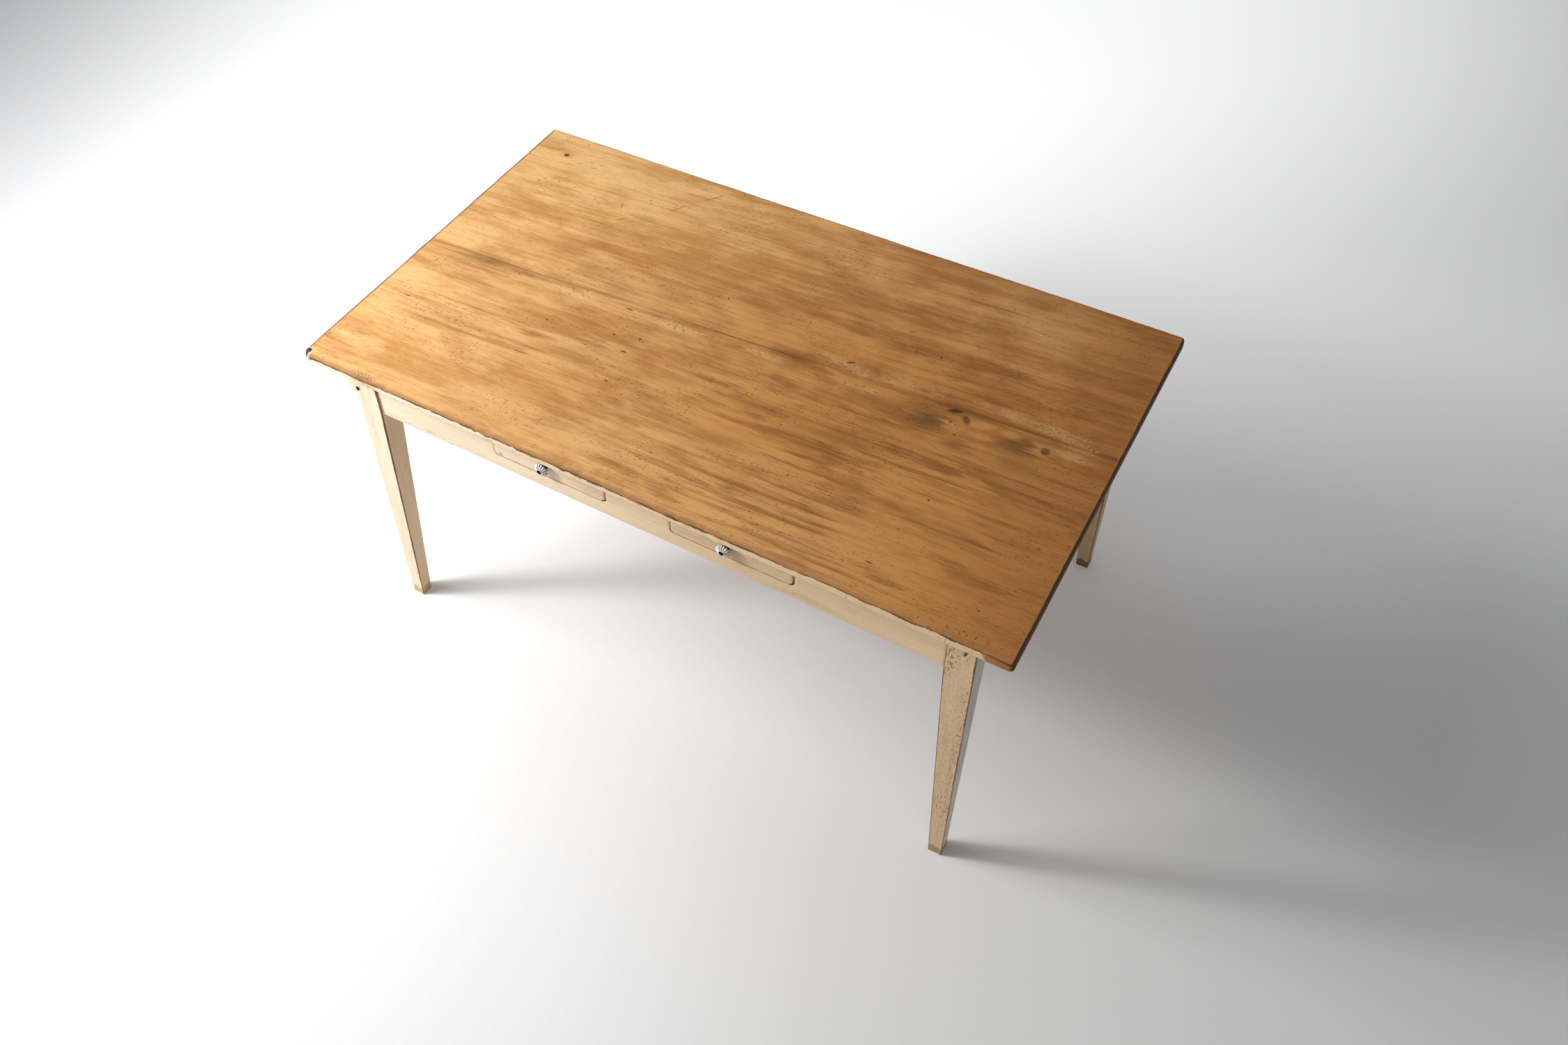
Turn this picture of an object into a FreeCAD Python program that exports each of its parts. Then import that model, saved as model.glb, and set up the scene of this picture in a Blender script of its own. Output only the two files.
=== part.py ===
import FreeCAD, Part
import os
import re
import Sketcher

# Kitchen table with two drawers: a pine top of two boards on a painted base of legs and aprons.
# The frame: +X along the table, +Y from the front to the back, +Z up, in millimetres.
# The origin is on the floor, under the middle of the table top.

SIZES = (
    # The table top
    ("top_length", 1600, "length of the table top"),
    ("top_width", 934, "width of the table top, front to back"),
    ("top_thickness", 25, "thickness of the boards of the top"),
    ("table_height", 770, "height of the top's upper face above the floor"),
    ("front_board_left_width", 434, "width of the front board at the left end"),
    ("front_board_right_width", 534, "width of the front board at the right end"),
    ("seam_gap", 0.4, "open seam between the two boards"),
    ("top_corner_radius", 12, "rounding of the top's corners in plan"),
    ("top_arris_radius", 4, "rounding of the top's worn upper arris"),
    ("dowel_count", 5, "dowels in the seam"),
    ("dowel_diameter", 10, "diameter of a dowel"),
    ("dowel_length", 60, "length of a dowel, half in each board"),
    # The base
    ("left_overhang", 118, "top past the left legs' outer faces"),
    ("right_overhang", 68, "top past the right legs' outer faces"),
    ("long_overhang", 15, "top past the legs' faces at the front and at the back"),
    ("leg_size", 58, "square section of a leg beside the aprons"),
    ("foot_size", 29, "square section of a leg at the floor"),
    ("apron_height", 93, "height of the aprons"),
    ("apron_thickness", 22, "thickness of the front and back aprons"),
    ("apron_setback", 4, "front and back aprons behind the legs' faces"),
    ("stub_shoulder", 4, "shoulder each side of a front or back apron's tenon"),
    ("side_apron_thickness", 28, "thickness of the side aprons"),
    ("side_apron_setback", 8, "side aprons behind the legs' outer faces"),
    ("through_shoulder", 6, "outer shoulder of a side apron's tenon"),
    ("tenon_bottom_step", 10, "step under every apron tenon"),
    ("tenon_top_step", 15, "step over every apron tenon"),
    ("tenon_end_recess", 0.4, "end of a through tenon behind the leg's face"),
    ("tenon_wall", 2, "wood left between the two tenons in a leg"),
    ("peg_diameter", 7, "diameter of a peg through a tenon"),
    ("peg_length", 30, "length of a peg"),
    ("peg_spacing", 48, "height between the two pegs of a tenon"),
    ("joint_clearance", 0.2, "clearance round every fitted joint"),
    # The battens, blocks and screws under the top
    ("batten_width", 24, "width of a batten"),
    ("batten_height", 51, "height of a batten"),
    ("batten_end_setback", 2, "ends of the left batten behind the legs' faces"),
    ("batten_counterbore", 22, "depth of a screw's counterbore in a batten"),
    ("batten_screw_count", 4, "screws in each batten"),
    ("block_length", 60, "length of a glue block along its apron"),
    ("block_width", 28, "width of a glue block"),
    ("block_height", 28, "height of a glue block"),
    ("block_counterbore", 8, "depth of a screw's counterbore in a block"),
    ("screw_diameter", 5, "diameter of a wood screw's shank"),
    ("screw_head_diameter", 9, "diameter of a wood screw's head"),
    ("screw_head_height", 3, "height of a wood screw's head"),
    ("screw_slot_width", 1.2, "width of the slot in a screw's head"),
    ("screw_slot_depth", 1.5, "depth of the slot in a screw's head"),
    ("screw_bite", 14, "how far a wood screw enters the top"),
    # The drawers
    ("drawer_spacing", 418, "distance between the middles of the drawers"),
    ("opening_width", 272, "width of a cut-out in the front apron"),
    ("opening_height", 59, "height of a cut-out, from its floor to the top"),
    ("opening_corner_radius", 10, "rounding of a cut-out's lower corners"),
    ("drawer_gap", 1.5, "gap round a drawer front"),
    ("drawer_depth", 430, "depth of a drawer from the face of its front"),
    ("drawer_front_thickness", 20, "thickness of a drawer front"),
    ("side_thickness", 12, "thickness of a drawer side"),
    ("housing_depth", 8, "depth of the housing of a side in the front"),
    ("back_thickness", 12, "thickness of a drawer back"),
    ("back_inset", 10, "drawer back in front of the ends of the sides"),
    ("back_drop", 4, "upper edge of a drawer back below the sides"),
    ("bottom_thickness", 6, "thickness of a drawer bottom"),
    ("bottom_raise", 6, "drawer bottom above the lower edges of the sides"),
    ("groove_depth", 5, "depth of the groove that holds a drawer bottom"),
    ("brad_diameter", 2, "diameter of a brad"),
    ("brad_length", 30, "length of a brad"),
    ("brad_margin", 12, "brads from the edges of a drawer back"),
    # The runners, guides and stops
    ("runner_height", 22, "height of a runner"),
    ("runner_lip", 10, "runner inside the drawer side that it carries"),
    ("runner_tenon_length", 8, "length of the tenon at each end of a runner"),
    ("runner_tenon_step", 6, "step over the tenon of a runner"),
    ("rest_gap", 0.3, "running gap of a drawer on its runners and stops"),
    ("guide_width", 16, "width of a guide"),
    ("guide_height", 24, "height of a guide"),
    ("guide_gap", 1, "gap between a guide and its drawer side"),
    ("stop_length", 20, "length of a stop"),
    ("stop_height", 18, "height of a stop"),
    # The knobs
    ("knob_shift", -10, "knob from the middle of its drawer front"),
    ("knob_projection", 18, "how far a knob stands out"),
    ("knob_neck_diameter", 15, "diameter of a knob's neck on the drawer front"),
    ("knob_neck_length", 6, "length of a knob's neck"),
    ("knob_rim_diameter", 32, "diameter of a knob's rim"),
    ("knob_rim_height", 12, "front of a knob's rim from the drawer front"),
    ("knob_rim_thickness", 3, "thickness of a knob's rim"),
    ("knob_front_diameter", 13.5, "diameter of a knob at its outer end"),
    ("knob_recess_diameter", 11, "diameter of the recess in a knob"),
    ("knob_recess_depth", 8, "depth of the recess in a knob"),
    ("flute_count", 16, "flutes round a knob"),
    ("flute_radius", 2.6, "radius of a flute's section"),
    ("flute_rim_depth", 2.2, "depth of a flute at the rim"),
    ("flute_front_depth", 0.3, "depth of a flute at the outer end"),
    ("knob_screw_diameter", 4, "diameter of a knob screw's shank"),
    ("knob_screw_head_diameter", 9, "diameter of a knob screw's head"),
    ("knob_screw_bite", 14, "how far a knob screw enters the drawer front"),
)

TOLERANCE = 1e-4
LEFT, RIGHT = -1, 1
FRONT, BACK = -1, 1
SIDE_NAMES = {LEFT: "left", RIGHT: "right"}
END_NAMES = {FRONT: "front", BACK: "back"}
ALONG = {
    "x": FreeCAD.Rotation(FreeCAD.Vector(0, 1, 0), 90),
    "y": FreeCAD.Rotation(FreeCAD.Vector(1, 0, 0), -90),
    "z": FreeCAD.Rotation(),
}
FACING_FRONT = FreeCAD.Rotation(FreeCAD.Vector(1, 0, 0), 90)
LEG_TURNS = {(LEFT, FRONT): 0, (RIGHT, FRONT): 90, (RIGHT, BACK): 180, (LEFT, BACK): 270}

# Formulas that several pieces share
BASE_LENGTH = "(top_length - left_overhang - right_overhang)"
BASE_WIDTH = "(top_width - 2 * long_overhang)"
BASE_MIDDLE = "((left_overhang - right_overhang) / 2)"
UNDERSIDE = "(table_height - top_thickness)"
APRON_BOTTOM = f"({UNDERSIDE} - apron_height)"
APRON_Z = (APRON_BOTTOM, UNDERSIDE)
APRON_INNER = "(apron_setback + apron_thickness)"
SIDE_APRON_INNER = "(side_apron_setback + side_apron_thickness)"
TENON_Z = (f"({APRON_BOTTOM} + tenon_bottom_step)", f"({UNDERSIDE} - tenon_top_step)")
STUB_LENGTH = f"(leg_size - {SIDE_APRON_INNER} - tenon_wall)"
BATTEN_BOTTOM = f"({UNDERSIDE} - batten_height)"
BLOCK_BOTTOM = f"({UNDERSIDE} - block_height)"
OPENING_FLOOR = f"({UNDERSIDE} - opening_height)"
DRAWER_FLOOR = f"({OPENING_FLOOR} + drawer_gap)"
DRAWER_TOP = f"({UNDERSIDE} - drawer_gap)"
DRAWER_FACE = f"(apron_setback - {BASE_WIDTH} / 2)"
FRONT_REAR = f"({DRAWER_FACE} + drawer_front_thickness)"
DRAWER_REAR = f"({DRAWER_FACE} + drawer_depth)"
BOX_HALF = "(opening_width / 2 - opening_corner_radius)"
BOX_INNER_HALF = f"({BOX_HALF} - side_thickness)"
PANEL_BOTTOM = f"({DRAWER_FLOOR} + bottom_raise)"
PANEL_TOP = f"({PANEL_BOTTOM} + bottom_thickness)"
BACK_Y = (f"({DRAWER_REAR} - back_inset - back_thickness)", f"({DRAWER_REAR} - back_inset)")
BACK_MIDDLE = f"({DRAWER_REAR} - back_inset - back_thickness / 2)"
RUNNER_TOP = f"({DRAWER_FLOOR} - rest_gap)"
RUNNER_INNER = f"({BOX_INNER_HALF} - runner_lip)"
GUIDE_INNER = f"({BOX_HALF} + guide_gap)"
GUIDE_OUTER = f"({GUIDE_INNER} + guide_width)"
KNOB_SEAT = "(knob_projection - knob_recess_depth)"
CLEARANCE = "joint_clearance"

doc = FreeCAD.newDocument("KitchenTable")
sheet = doc.addObject("Spreadsheet::Sheet", "Sizes")
for row, (alias, size, meaning) in enumerate(SIZES, start=1):
    sheet.set(f"A{row}", meaning)
    sheet.set(f"B{row}", str(size))
    sheet.setAlias(f"B{row}", alias)
doc.recompute()
nodes = []


def link(formula):
    """Point the size names in a formula at the sheet."""
    return re.sub(r"[a-z]+(_[a-z]+)+", r"Sizes.\g<0>", formula)


def value(formula):
    """The number that a formula gives now."""
    return float(sheet.evalExpression(link(formula)))


def bind(thing, formulas):
    """Drive properties of a document object by formulas on the sheet."""
    for name, formula in formulas.items():
        thing.setExpression(name, link(formula))


def place(thing, corner):
    """Drive the place of a document object by a formula for each of X, Y and Z."""
    bind(thing, {f"Placement.Base.{axis}": formula for axis, formula in zip("xyz", corner)})


def node(piece, label):
    """Give a finished piece its name and put it on the list of pieces to write."""
    piece.Label = label
    nodes.append(piece)
    return piece


def grown(span):
    """A span with the joint's clearance at both ends."""
    low, high = span
    return (f"({low} - {CLEARANCE})", f"({high} + {CLEARANCE})")


def ordered(side, near, far):
    """The two ends of a span in rising order, on either side of the middle."""
    return (near, far) if side < 0 else (far, near)


def at_x(side, depth):
    """A place along X, a depth in from the legs' outer faces."""
    return f"({BASE_MIDDLE} + {side} * ({BASE_LENGTH} / 2 - ({depth})))"


def at_y(end, depth):
    """A place along Y, a depth in from the legs' outer faces."""
    return f"({end} * ({BASE_WIDTH} / 2 - ({depth})))"


def in_x(side, near, far):
    """A span along X between two depths in from the legs' outer faces."""
    return ordered(side, at_x(side, near), at_x(side, far))


def in_y(end, near, far):
    """A span along Y between two depths in from the legs' outer faces."""
    return ordered(end, at_y(end, near), at_y(end, far))


def front_to_back(depth):
    """The span along Y that ends at the same depth from the front and from the back."""
    return (at_y(FRONT, depth), at_y(BACK, depth))


def drawer_middle(side):
    """The middle of a drawer along X."""
    return f"({BASE_MIDDLE} + {side} * drawer_spacing / 2)"


def across_drawer(side, hand, inner, outer):
    """A span along X between two distances from a drawer's middle, on its left or right."""
    inner, outer = (f"({drawer_middle(side)} + {hand} * ({reach}))" for reach in (inner, outer))
    return ordered(-hand, inner, outer)


def spread(length, number, count):
    """The place of one of several evenly spread things, from the middle of a length."""
    return f"({length} * (({number} + 0.5) / {count} - 0.5))"


def board(name, spans):
    """A rectangular piece of wood between two formulas along each of X, Y and Z."""
    piece = doc.addObject("Part::Box", name)
    for side, (low, high) in zip(("Length", "Width", "Height"), spans):
        bind(piece, {side: f"{high} - {low}"})
    place(piece, [low for low, high in spans])
    return piece


def rod(name, axis, diameter, length, start):
    """A round rod along one axis from its starting point."""
    piece = doc.addObject("Part::Cylinder", name)
    piece.Placement = FreeCAD.Placement(FreeCAD.Vector(), ALONG[axis])
    bind(piece, {"Radius": f"({diameter}) / 2", "Height": length})
    place(piece, start)
    return piece


def fuse(name, pieces):
    """One piece made of several that touch."""
    joined = doc.addObject("Part::MultiFuse", name)
    joined.Shapes = pieces
    joined.Refine = True
    return joined


def cut(name, base, tools):
    """A piece with several shapes cut out of it."""
    removed = tools[0]
    if len(tools) > 1:
        removed = doc.addObject("Part::MultiFuse", f"{name}_cuts")
        removed.Shapes = tools
    piece = doc.addObject("Part::Cut", name)
    piece.Base = base
    piece.Tool = removed
    return piece


def group(name, pieces):
    """Identical pieces that share one name."""
    gathered = doc.addObject("Part::Compound", name)
    gathered.Links = pieces
    return node(gathered, name)


def origin_plane(body, role):
    """One of a body's own origin planes."""
    return next(feature for feature in body.Origin.OriginFeatures if feature.Role == role)


def outline(body, name, role, corners, lift="0"):
    """A closed outline of straight lines on a body's plane, each corner driven by two formulas."""
    sketch = body.newObject("Sketcher::SketchObject", name)
    sketch.AttachmentSupport = [(origin_plane(body, role), "")]
    sketch.MapMode = "FlatFace"
    bind(sketch, {"AttachmentOffset.Base.z": lift})
    points = [FreeCAD.Vector(value(across), value(along), 0) for across, along in corners]
    for start, end in zip(points, points[1:] + points[:1]):
        sketch.addGeometry(Part.LineSegment(start, end))
    for line in range(len(points)):
        sketch.addConstraint(Sketcher.Constraint("Coincident", line, 2, (line + 1) % len(points), 1))
    for line, (point, corner) in enumerate(zip(points, corners)):
        for kind, size, formula in zip(("DistanceX", "DistanceY"), (point.x, point.y), corner):
            number = sketch.addConstraint(Sketcher.Constraint(kind, -1, 1, line, 1, size))
            bind(sketch, {f"Constraints[{number}]": formula})
    return sketch


def pad(body, name, sketch, length):
    """A sketch padded to a length."""
    feature = body.newObject("PartDesign::Pad", name)
    feature.Profile = sketch
    bind(feature, {"Length": length})
    doc.recompute()
    return feature


def rounding(body, name, feature, radius, wanted):
    """A fillet on the edges of a feature whose own boxes pass a test."""
    edges = feature.Shape.Edges
    chosen = [f"Edge{number}" for number, edge in enumerate(edges, start=1) if wanted(edge.BoundBox)]
    fillet = body.newObject("PartDesign::Fillet", name)
    fillet.Base = (feature, chosen)
    bind(fillet, {"Radius": radius})
    doc.recompute()
    return fillet


def same(first, second):
    """Whether two coordinates are the same."""
    return abs(first - second) < TOLERANCE


def screw(name, axis, seat, head_diameter, shank_diameter, shank_length):
    """A slotted screw whose head stands on a seat, with its shank along the axis."""
    at = "xyz".index(axis)
    head_start = list(seat)
    head_start[at] = f"{seat[at]} - screw_head_height"
    shank = rod(f"{name}_shank", axis, shank_diameter, shank_length, seat)
    head = rod(f"{name}_head", axis, head_diameter, "screw_head_height", head_start)
    slot_spans = []
    for direction, middle in zip("xyz", head_start):
        half = "screw_slot_width / 2" if direction == "x" else f"({head_diameter}) / 2"
        slot_spans.append((f"({middle} - {half})", f"({middle} + {half})"))
    slot_spans[at] = (f"({head_start[at]})", f"({head_start[at]} + screw_slot_depth)")
    slot = board(f"{name}_slot", slot_spans)
    return cut(name, fuse(f"{name}_blank", [head, shank]), [slot])


# The seam and the dowels in it
def seam_at(place_x):
    """Where the seam lies along Y at a place along the top."""
    slope = "(front_board_right_width - front_board_left_width) / top_length"
    middle = "(front_board_left_width + front_board_right_width) / 2 - top_width / 2"
    return f"({middle} + {slope} * {place_x})"


top_middle_height = f"({UNDERSIDE} + top_thickness / 2)"
dowels, dowel_holes = [], []
for number in range(round(value("dowel_count"))):
    dowel_x = spread("top_length", number, "dowel_count")
    for rods, length, diameter in (
        (dowels, "dowel_length", "dowel_diameter"),
        (dowel_holes, f"(dowel_length + 2 * {CLEARANCE})", f"dowel_diameter + 2 * {CLEARANCE}"),
    ):
        start = (dowel_x, f"{seam_at(dowel_x)} - {length} / 2", top_middle_height)
        rods.append(rod("dowel", "y", diameter, length, start))
group("top_dowels", dowels)

# The battens: one outside the left legs, where its end shows, and one inside the right apron
batten_spans = {
    LEFT: (in_x(LEFT, "-batten_width", "0"),
           front_to_back("batten_end_setback"),
           (BATTEN_BOTTOM, UNDERSIDE)),
    RIGHT: (in_x(RIGHT, SIDE_APRON_INNER, f"{SIDE_APRON_INNER} + batten_width"),
            front_to_back(f"leg_size + {CLEARANCE}"),
            (BATTEN_BOTTOM, UNDERSIDE)),
}

# The glue blocks: on the front and back aprons beside the drawers, and on the left apron
block_spans = []
for side in (LEFT, RIGHT):
    reach = f"({BASE_LENGTH} / 2 - leg_size + drawer_spacing / 2 + {GUIDE_OUTER}) / 2"
    middle = f"({BASE_MIDDLE} + {side} * {reach})"
    for end in (FRONT, BACK):
        block_spans.append(((f"({middle} - block_length / 2)", f"({middle} + block_length / 2)"),
                            in_y(end, APRON_INNER, f"{APRON_INNER} + block_width"),
                            (BLOCK_BOTTOM, UNDERSIDE)))
for end in (FRONT, BACK):
    middle = f"({end} * {BASE_WIDTH} / 4)"
    block_spans.append((in_x(LEFT, SIDE_APRON_INNER, f"{SIDE_APRON_INNER} + block_width"),
                        (f"({middle} - block_length / 2)", f"({middle} + block_length / 2)"),
                        (BLOCK_BOTTOM, UNDERSIDE)))


def screwed(name, spans, counterbore, places):
    """A piece under the top with its screws: the piece, the screws and their holes in the top."""
    bottom = spans[2][0]
    seat_z = f"({bottom} + {counterbore})"
    shank_length = f"({UNDERSIDE} + screw_bite - {seat_z})"
    hole_diameter = f"screw_diameter + 2 * {CLEARANCE}"
    bore_diameter = f"screw_head_diameter + 2 * {CLEARANCE}"
    screws, holes, bores = [], [], []
    for place_x, place_y in places:
        seat = (place_x, place_y, seat_z)
        screws.append(screw(f"{name}_screw", "z", seat, "screw_head_diameter", "screw_diameter",
                            shank_length))
        holes.append(rod(f"{name}_hole", "z", hole_diameter, f"{shank_length} + {CLEARANCE}", seat))
        bores.append(rod(f"{name}_bore", "z", bore_diameter, counterbore, (place_x, place_y, bottom)))
    return cut(name, board(f"{name}_wood", spans), holes + bores), screws, holes


def middle_of(span):
    """The middle of a span."""
    low, high = span
    return f"(({low} + {high}) / 2)"


batten_screws, block_screws, top_holes = [], [], []
for side, spans in batten_spans.items():
    name = f"{SIDE_NAMES[side]}_batten"
    low, high = spans[1]
    places = [(middle_of(spans[0]), spread(f"({high} - {low})", number, "batten_screw_count"))
              for number in range(round(value("batten_screw_count")))]
    batten, screws, holes = screwed(name, spans, "batten_counterbore", places)
    node(batten, name)
    batten_screws += screws
    top_holes += holes
group("batten_screws", batten_screws)

blocks = []
for spans in block_spans:
    places = [(middle_of(spans[0]), middle_of(spans[1]))]
    block, screws, holes = screwed("block", spans, "block_counterbore", places)
    blocks.append(block)
    block_screws += screws
    top_holes += holes
group("top_blocks", blocks)
group("block_screws", block_screws)


# The boards of the top: the seam slants, and the outer corners and the upper arris are rounded
def top_board(label, corners, outer_y):
    """A board of the top, from its corners in plan and the outer long edge."""
    body = doc.addObject("PartDesign::Body", f"{label}_wood")
    place(body, ("-top_length / 2", "-top_width / 2", UNDERSIDE))
    plan = outline(body, f"{label}_plan", "XY_Plane", corners)
    blank = pad(body, f"{label}_blank", plan, "top_thickness")
    length, thickness, edge = value("top_length"), value("top_thickness"), value(outer_y)

    def is_corner(box):
        return same(box.ZLength, thickness) and same(box.YMin, edge)

    def is_arris(box):
        return same(box.ZMin, thickness) and not same(box.XLength, length)

    rounded = rounding(body, f"{label}_corners", blank, "top_corner_radius", is_corner)
    rounding(body, f"{label}_arris", rounded, "top_arris_radius", is_arris)
    return node(cut(label, body, dowel_holes + top_holes), label)


top_board("top_front_board", (
    ("0", "0"),
    ("top_length", "0"),
    ("top_length", "front_board_right_width"),
    ("0", "front_board_left_width"),
), "0")
top_board("top_rear_board", (
    ("0", "front_board_left_width + seam_gap"),
    ("top_length", "front_board_right_width + seam_gap"),
    ("top_length", "top_width"),
    ("0", "top_width"),
), "top_width")


# The legs: square beside the aprons, tapered below them on the two inner faces
def through_tenon(side, along, fit):
    """The tenon of a side apron, which runs through a leg from back to front."""
    across = in_x(side, "side_apron_setback + through_shoulder", SIDE_APRON_INNER)
    return board("through_tenon", (fit(across), along, fit(TENON_Z)))


def stub_tenon(end, across, fit):
    """The short tenon of the front or back apron in a leg."""
    along = in_y(end, "apron_setback + stub_shoulder", f"{APRON_INNER} - stub_shoulder")
    return board("stub_tenon", (across, fit(along), fit(TENON_Z)))


def as_made(span):
    """A span with no clearance."""
    return span


def square(body, name, size, lift):
    """A square with one corner at a body's origin."""
    return outline(body, name, "XY_Plane", (("0", "0"), (size, "0"), (size, size), ("0", size)), lift)


def leg_blank(label, side, end):
    """A leg before its joints are cut, turned so that its inner faces taper."""
    body = doc.addObject("PartDesign::Body", f"{label}_wood")
    turn = FreeCAD.Rotation(FreeCAD.Vector(0, 0, 1), LEG_TURNS[side, end])
    body.Placement = FreeCAD.Placement(FreeCAD.Vector(), turn)
    place(body, (at_x(side, "0"), at_y(end, "0"), "0"))
    foot = square(body, f"{label}_foot", "foot_size", "0")
    shoulder = square(body, f"{label}_shoulder", "leg_size", APRON_BOTTOM)
    taper = body.newObject("PartDesign::AdditiveLoft", f"{label}_taper")
    taper.Profile = foot
    taper.Sections = [shoulder]
    taper.Ruled = True
    pad(body, f"{label}_head", shoulder, "apron_height")
    return body


pegs, peg_holes = [], {}
for side in (LEFT, RIGHT):
    for end in (FRONT, BACK):
        label = f"{END_NAMES[end]}_{SIDE_NAMES[side]}_leg"
        peg_x = at_x(side, f"leg_size - {STUB_LENGTH} / 2")
        holes = []
        for level in (-1, 1):
            peg_z = f"(({APRON_BOTTOM} + {UNDERSIDE}) / 2 + {level} * peg_spacing / 2)"
            peg_y = in_y(end, "0", "peg_length")[0]
            hole_y = in_y(end, "-peg_length", f"peg_length + {CLEARANCE}")[0]
            pegs.append(rod("peg", "y", "peg_diameter", "peg_length", (peg_x, peg_y, peg_z)))
            holes.append(rod("peg_hole", "y", f"peg_diameter + 2 * {CLEARANCE}",
                             f"2 * peg_length + {CLEARANCE}", (peg_x, hole_y, peg_z)))
        peg_holes[side, end] = holes
        through = through_tenon(side, in_y(end, "-leg_size", "2 * leg_size"), grown)
        across = in_x(side, f"leg_size - {STUB_LENGTH} - {CLEARANCE}", "2 * leg_size")
        mortises = [through, stub_tenon(end, across, grown)]
        node(cut(label, leg_blank(label, side, end), mortises + holes), label)
group("apron_pegs", pegs)

# The side aprons, with tenons that show at the faces of the legs
for side in (LEFT, RIGHT):
    label = f"{SIDE_NAMES[side]}_apron"
    across = in_x(side, "side_apron_setback", SIDE_APRON_INNER)
    pieces = [board(f"{label}_board", (across, front_to_back("leg_size"), APRON_Z))]
    for end in (FRONT, BACK):
        pieces.append(through_tenon(side, in_y(end, "tenon_end_recess", "leg_size"), as_made))
    node(fuse(label, pieces), label)


# The runners with their guides and stops, and the runners' mortises in the aprons
def runner_tenons(name, across, reach, fit):
    """The tenons at both ends of a runner, which reach into the front and back aprons."""
    tenon_z = (f"({RUNNER_TOP} - runner_height)", f"({RUNNER_TOP} - runner_tenon_step)")
    along = front_to_back(f"{APRON_INNER} - ({reach})")
    return board(name, (fit(across), along, fit(tenon_z)))


runner_mortises, stops = [], []
for side in (LEFT, RIGHT):
    for hand in (LEFT, RIGHT):
        name = f"{SIDE_NAMES[side]}_drawer_{SIDE_NAMES[hand]}"
        across = across_drawer(side, hand, RUNNER_INNER, GUIDE_OUTER)
        along = front_to_back(APRON_INNER)
        runner_z = (f"({RUNNER_TOP} - runner_height)", RUNNER_TOP)
        body = board(f"{name}_runner_body", (across, along, runner_z))
        tenons = runner_tenons(f"{name}_tenons", across, "runner_tenon_length", as_made)
        node(fuse(f"{name}_runner", [body, tenons]), f"{name}_runner")
        mortise_reach = f"runner_tenon_length + {CLEARANCE}"
        runner_mortises.append(runner_tenons(f"{name}_mortises", across, mortise_reach, grown))
        guide_x = across_drawer(side, hand, GUIDE_INNER, GUIDE_OUTER)
        guide_z = (RUNNER_TOP, f"({RUNNER_TOP} + guide_height)")
        node(board(f"{name}_guide", (guide_x, along, guide_z)), f"{name}_guide")
        stop_y = (f"({DRAWER_REAR} + rest_gap)", f"({DRAWER_REAR} + rest_gap + stop_length)")
        stop_z = (RUNNER_TOP, f"({RUNNER_TOP} + stop_height)")
        stops.append(board("stop", (across_drawer(side, hand, RUNNER_INNER, BOX_HALF), stop_y, stop_z)))
group("drawer_stops", stops)


# The drawer fronts and the cut-outs for them have the same rounded form
def rounded_panel(name, width, height, thickness, radius, middle, rear, floor):
    """An upright panel with rounded lower corners, facing the front."""
    body = doc.addObject("PartDesign::Body", name)
    body.Placement = FreeCAD.Placement(FreeCAD.Vector(), FACING_FRONT)
    place(body, (f"{middle} - ({width}) / 2", rear, floor))
    face = outline(body, f"{name}_face", "XY_Plane",
                   (("0", "0"), (width, "0"), (width, height), ("0", height)))
    blank = pad(body, f"{name}_blank", face, thickness)
    depth = value(thickness)

    def is_lower_corner(box):
        return same(box.ZLength, depth) and same(box.YMax, 0)

    rounding(body, f"{name}_corners", blank, radius, is_lower_corner)
    return body


cutouts = []
for side in (LEFT, RIGHT):
    cutouts.append(rounded_panel(
        f"{SIDE_NAMES[side]}_cutout", "opening_width", "2 * opening_height", "3 * apron_thickness",
        "opening_corner_radius", drawer_middle(side), f"({DRAWER_FACE} + 2 * apron_thickness)",
        OPENING_FLOOR))

# The front apron with the drawers' cut-outs, and the back apron
for end in (FRONT, BACK):
    label = f"{END_NAMES[end]}_apron"
    across = (at_x(LEFT, "leg_size"), at_x(RIGHT, "leg_size"))
    pieces = [board(f"{label}_board", (across, in_y(end, "apron_setback", APRON_INNER), APRON_Z))]
    for side in (LEFT, RIGHT):
        pieces.append(stub_tenon(end, in_x(side, f"leg_size - {STUB_LENGTH}", "leg_size"), as_made))
    tools = peg_holes[LEFT, end] + peg_holes[RIGHT, end] + runner_mortises
    if end == FRONT:
        tools = tools + cutouts
    node(cut(label, fuse(f"{label}_wood", pieces), tools), label)


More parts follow.
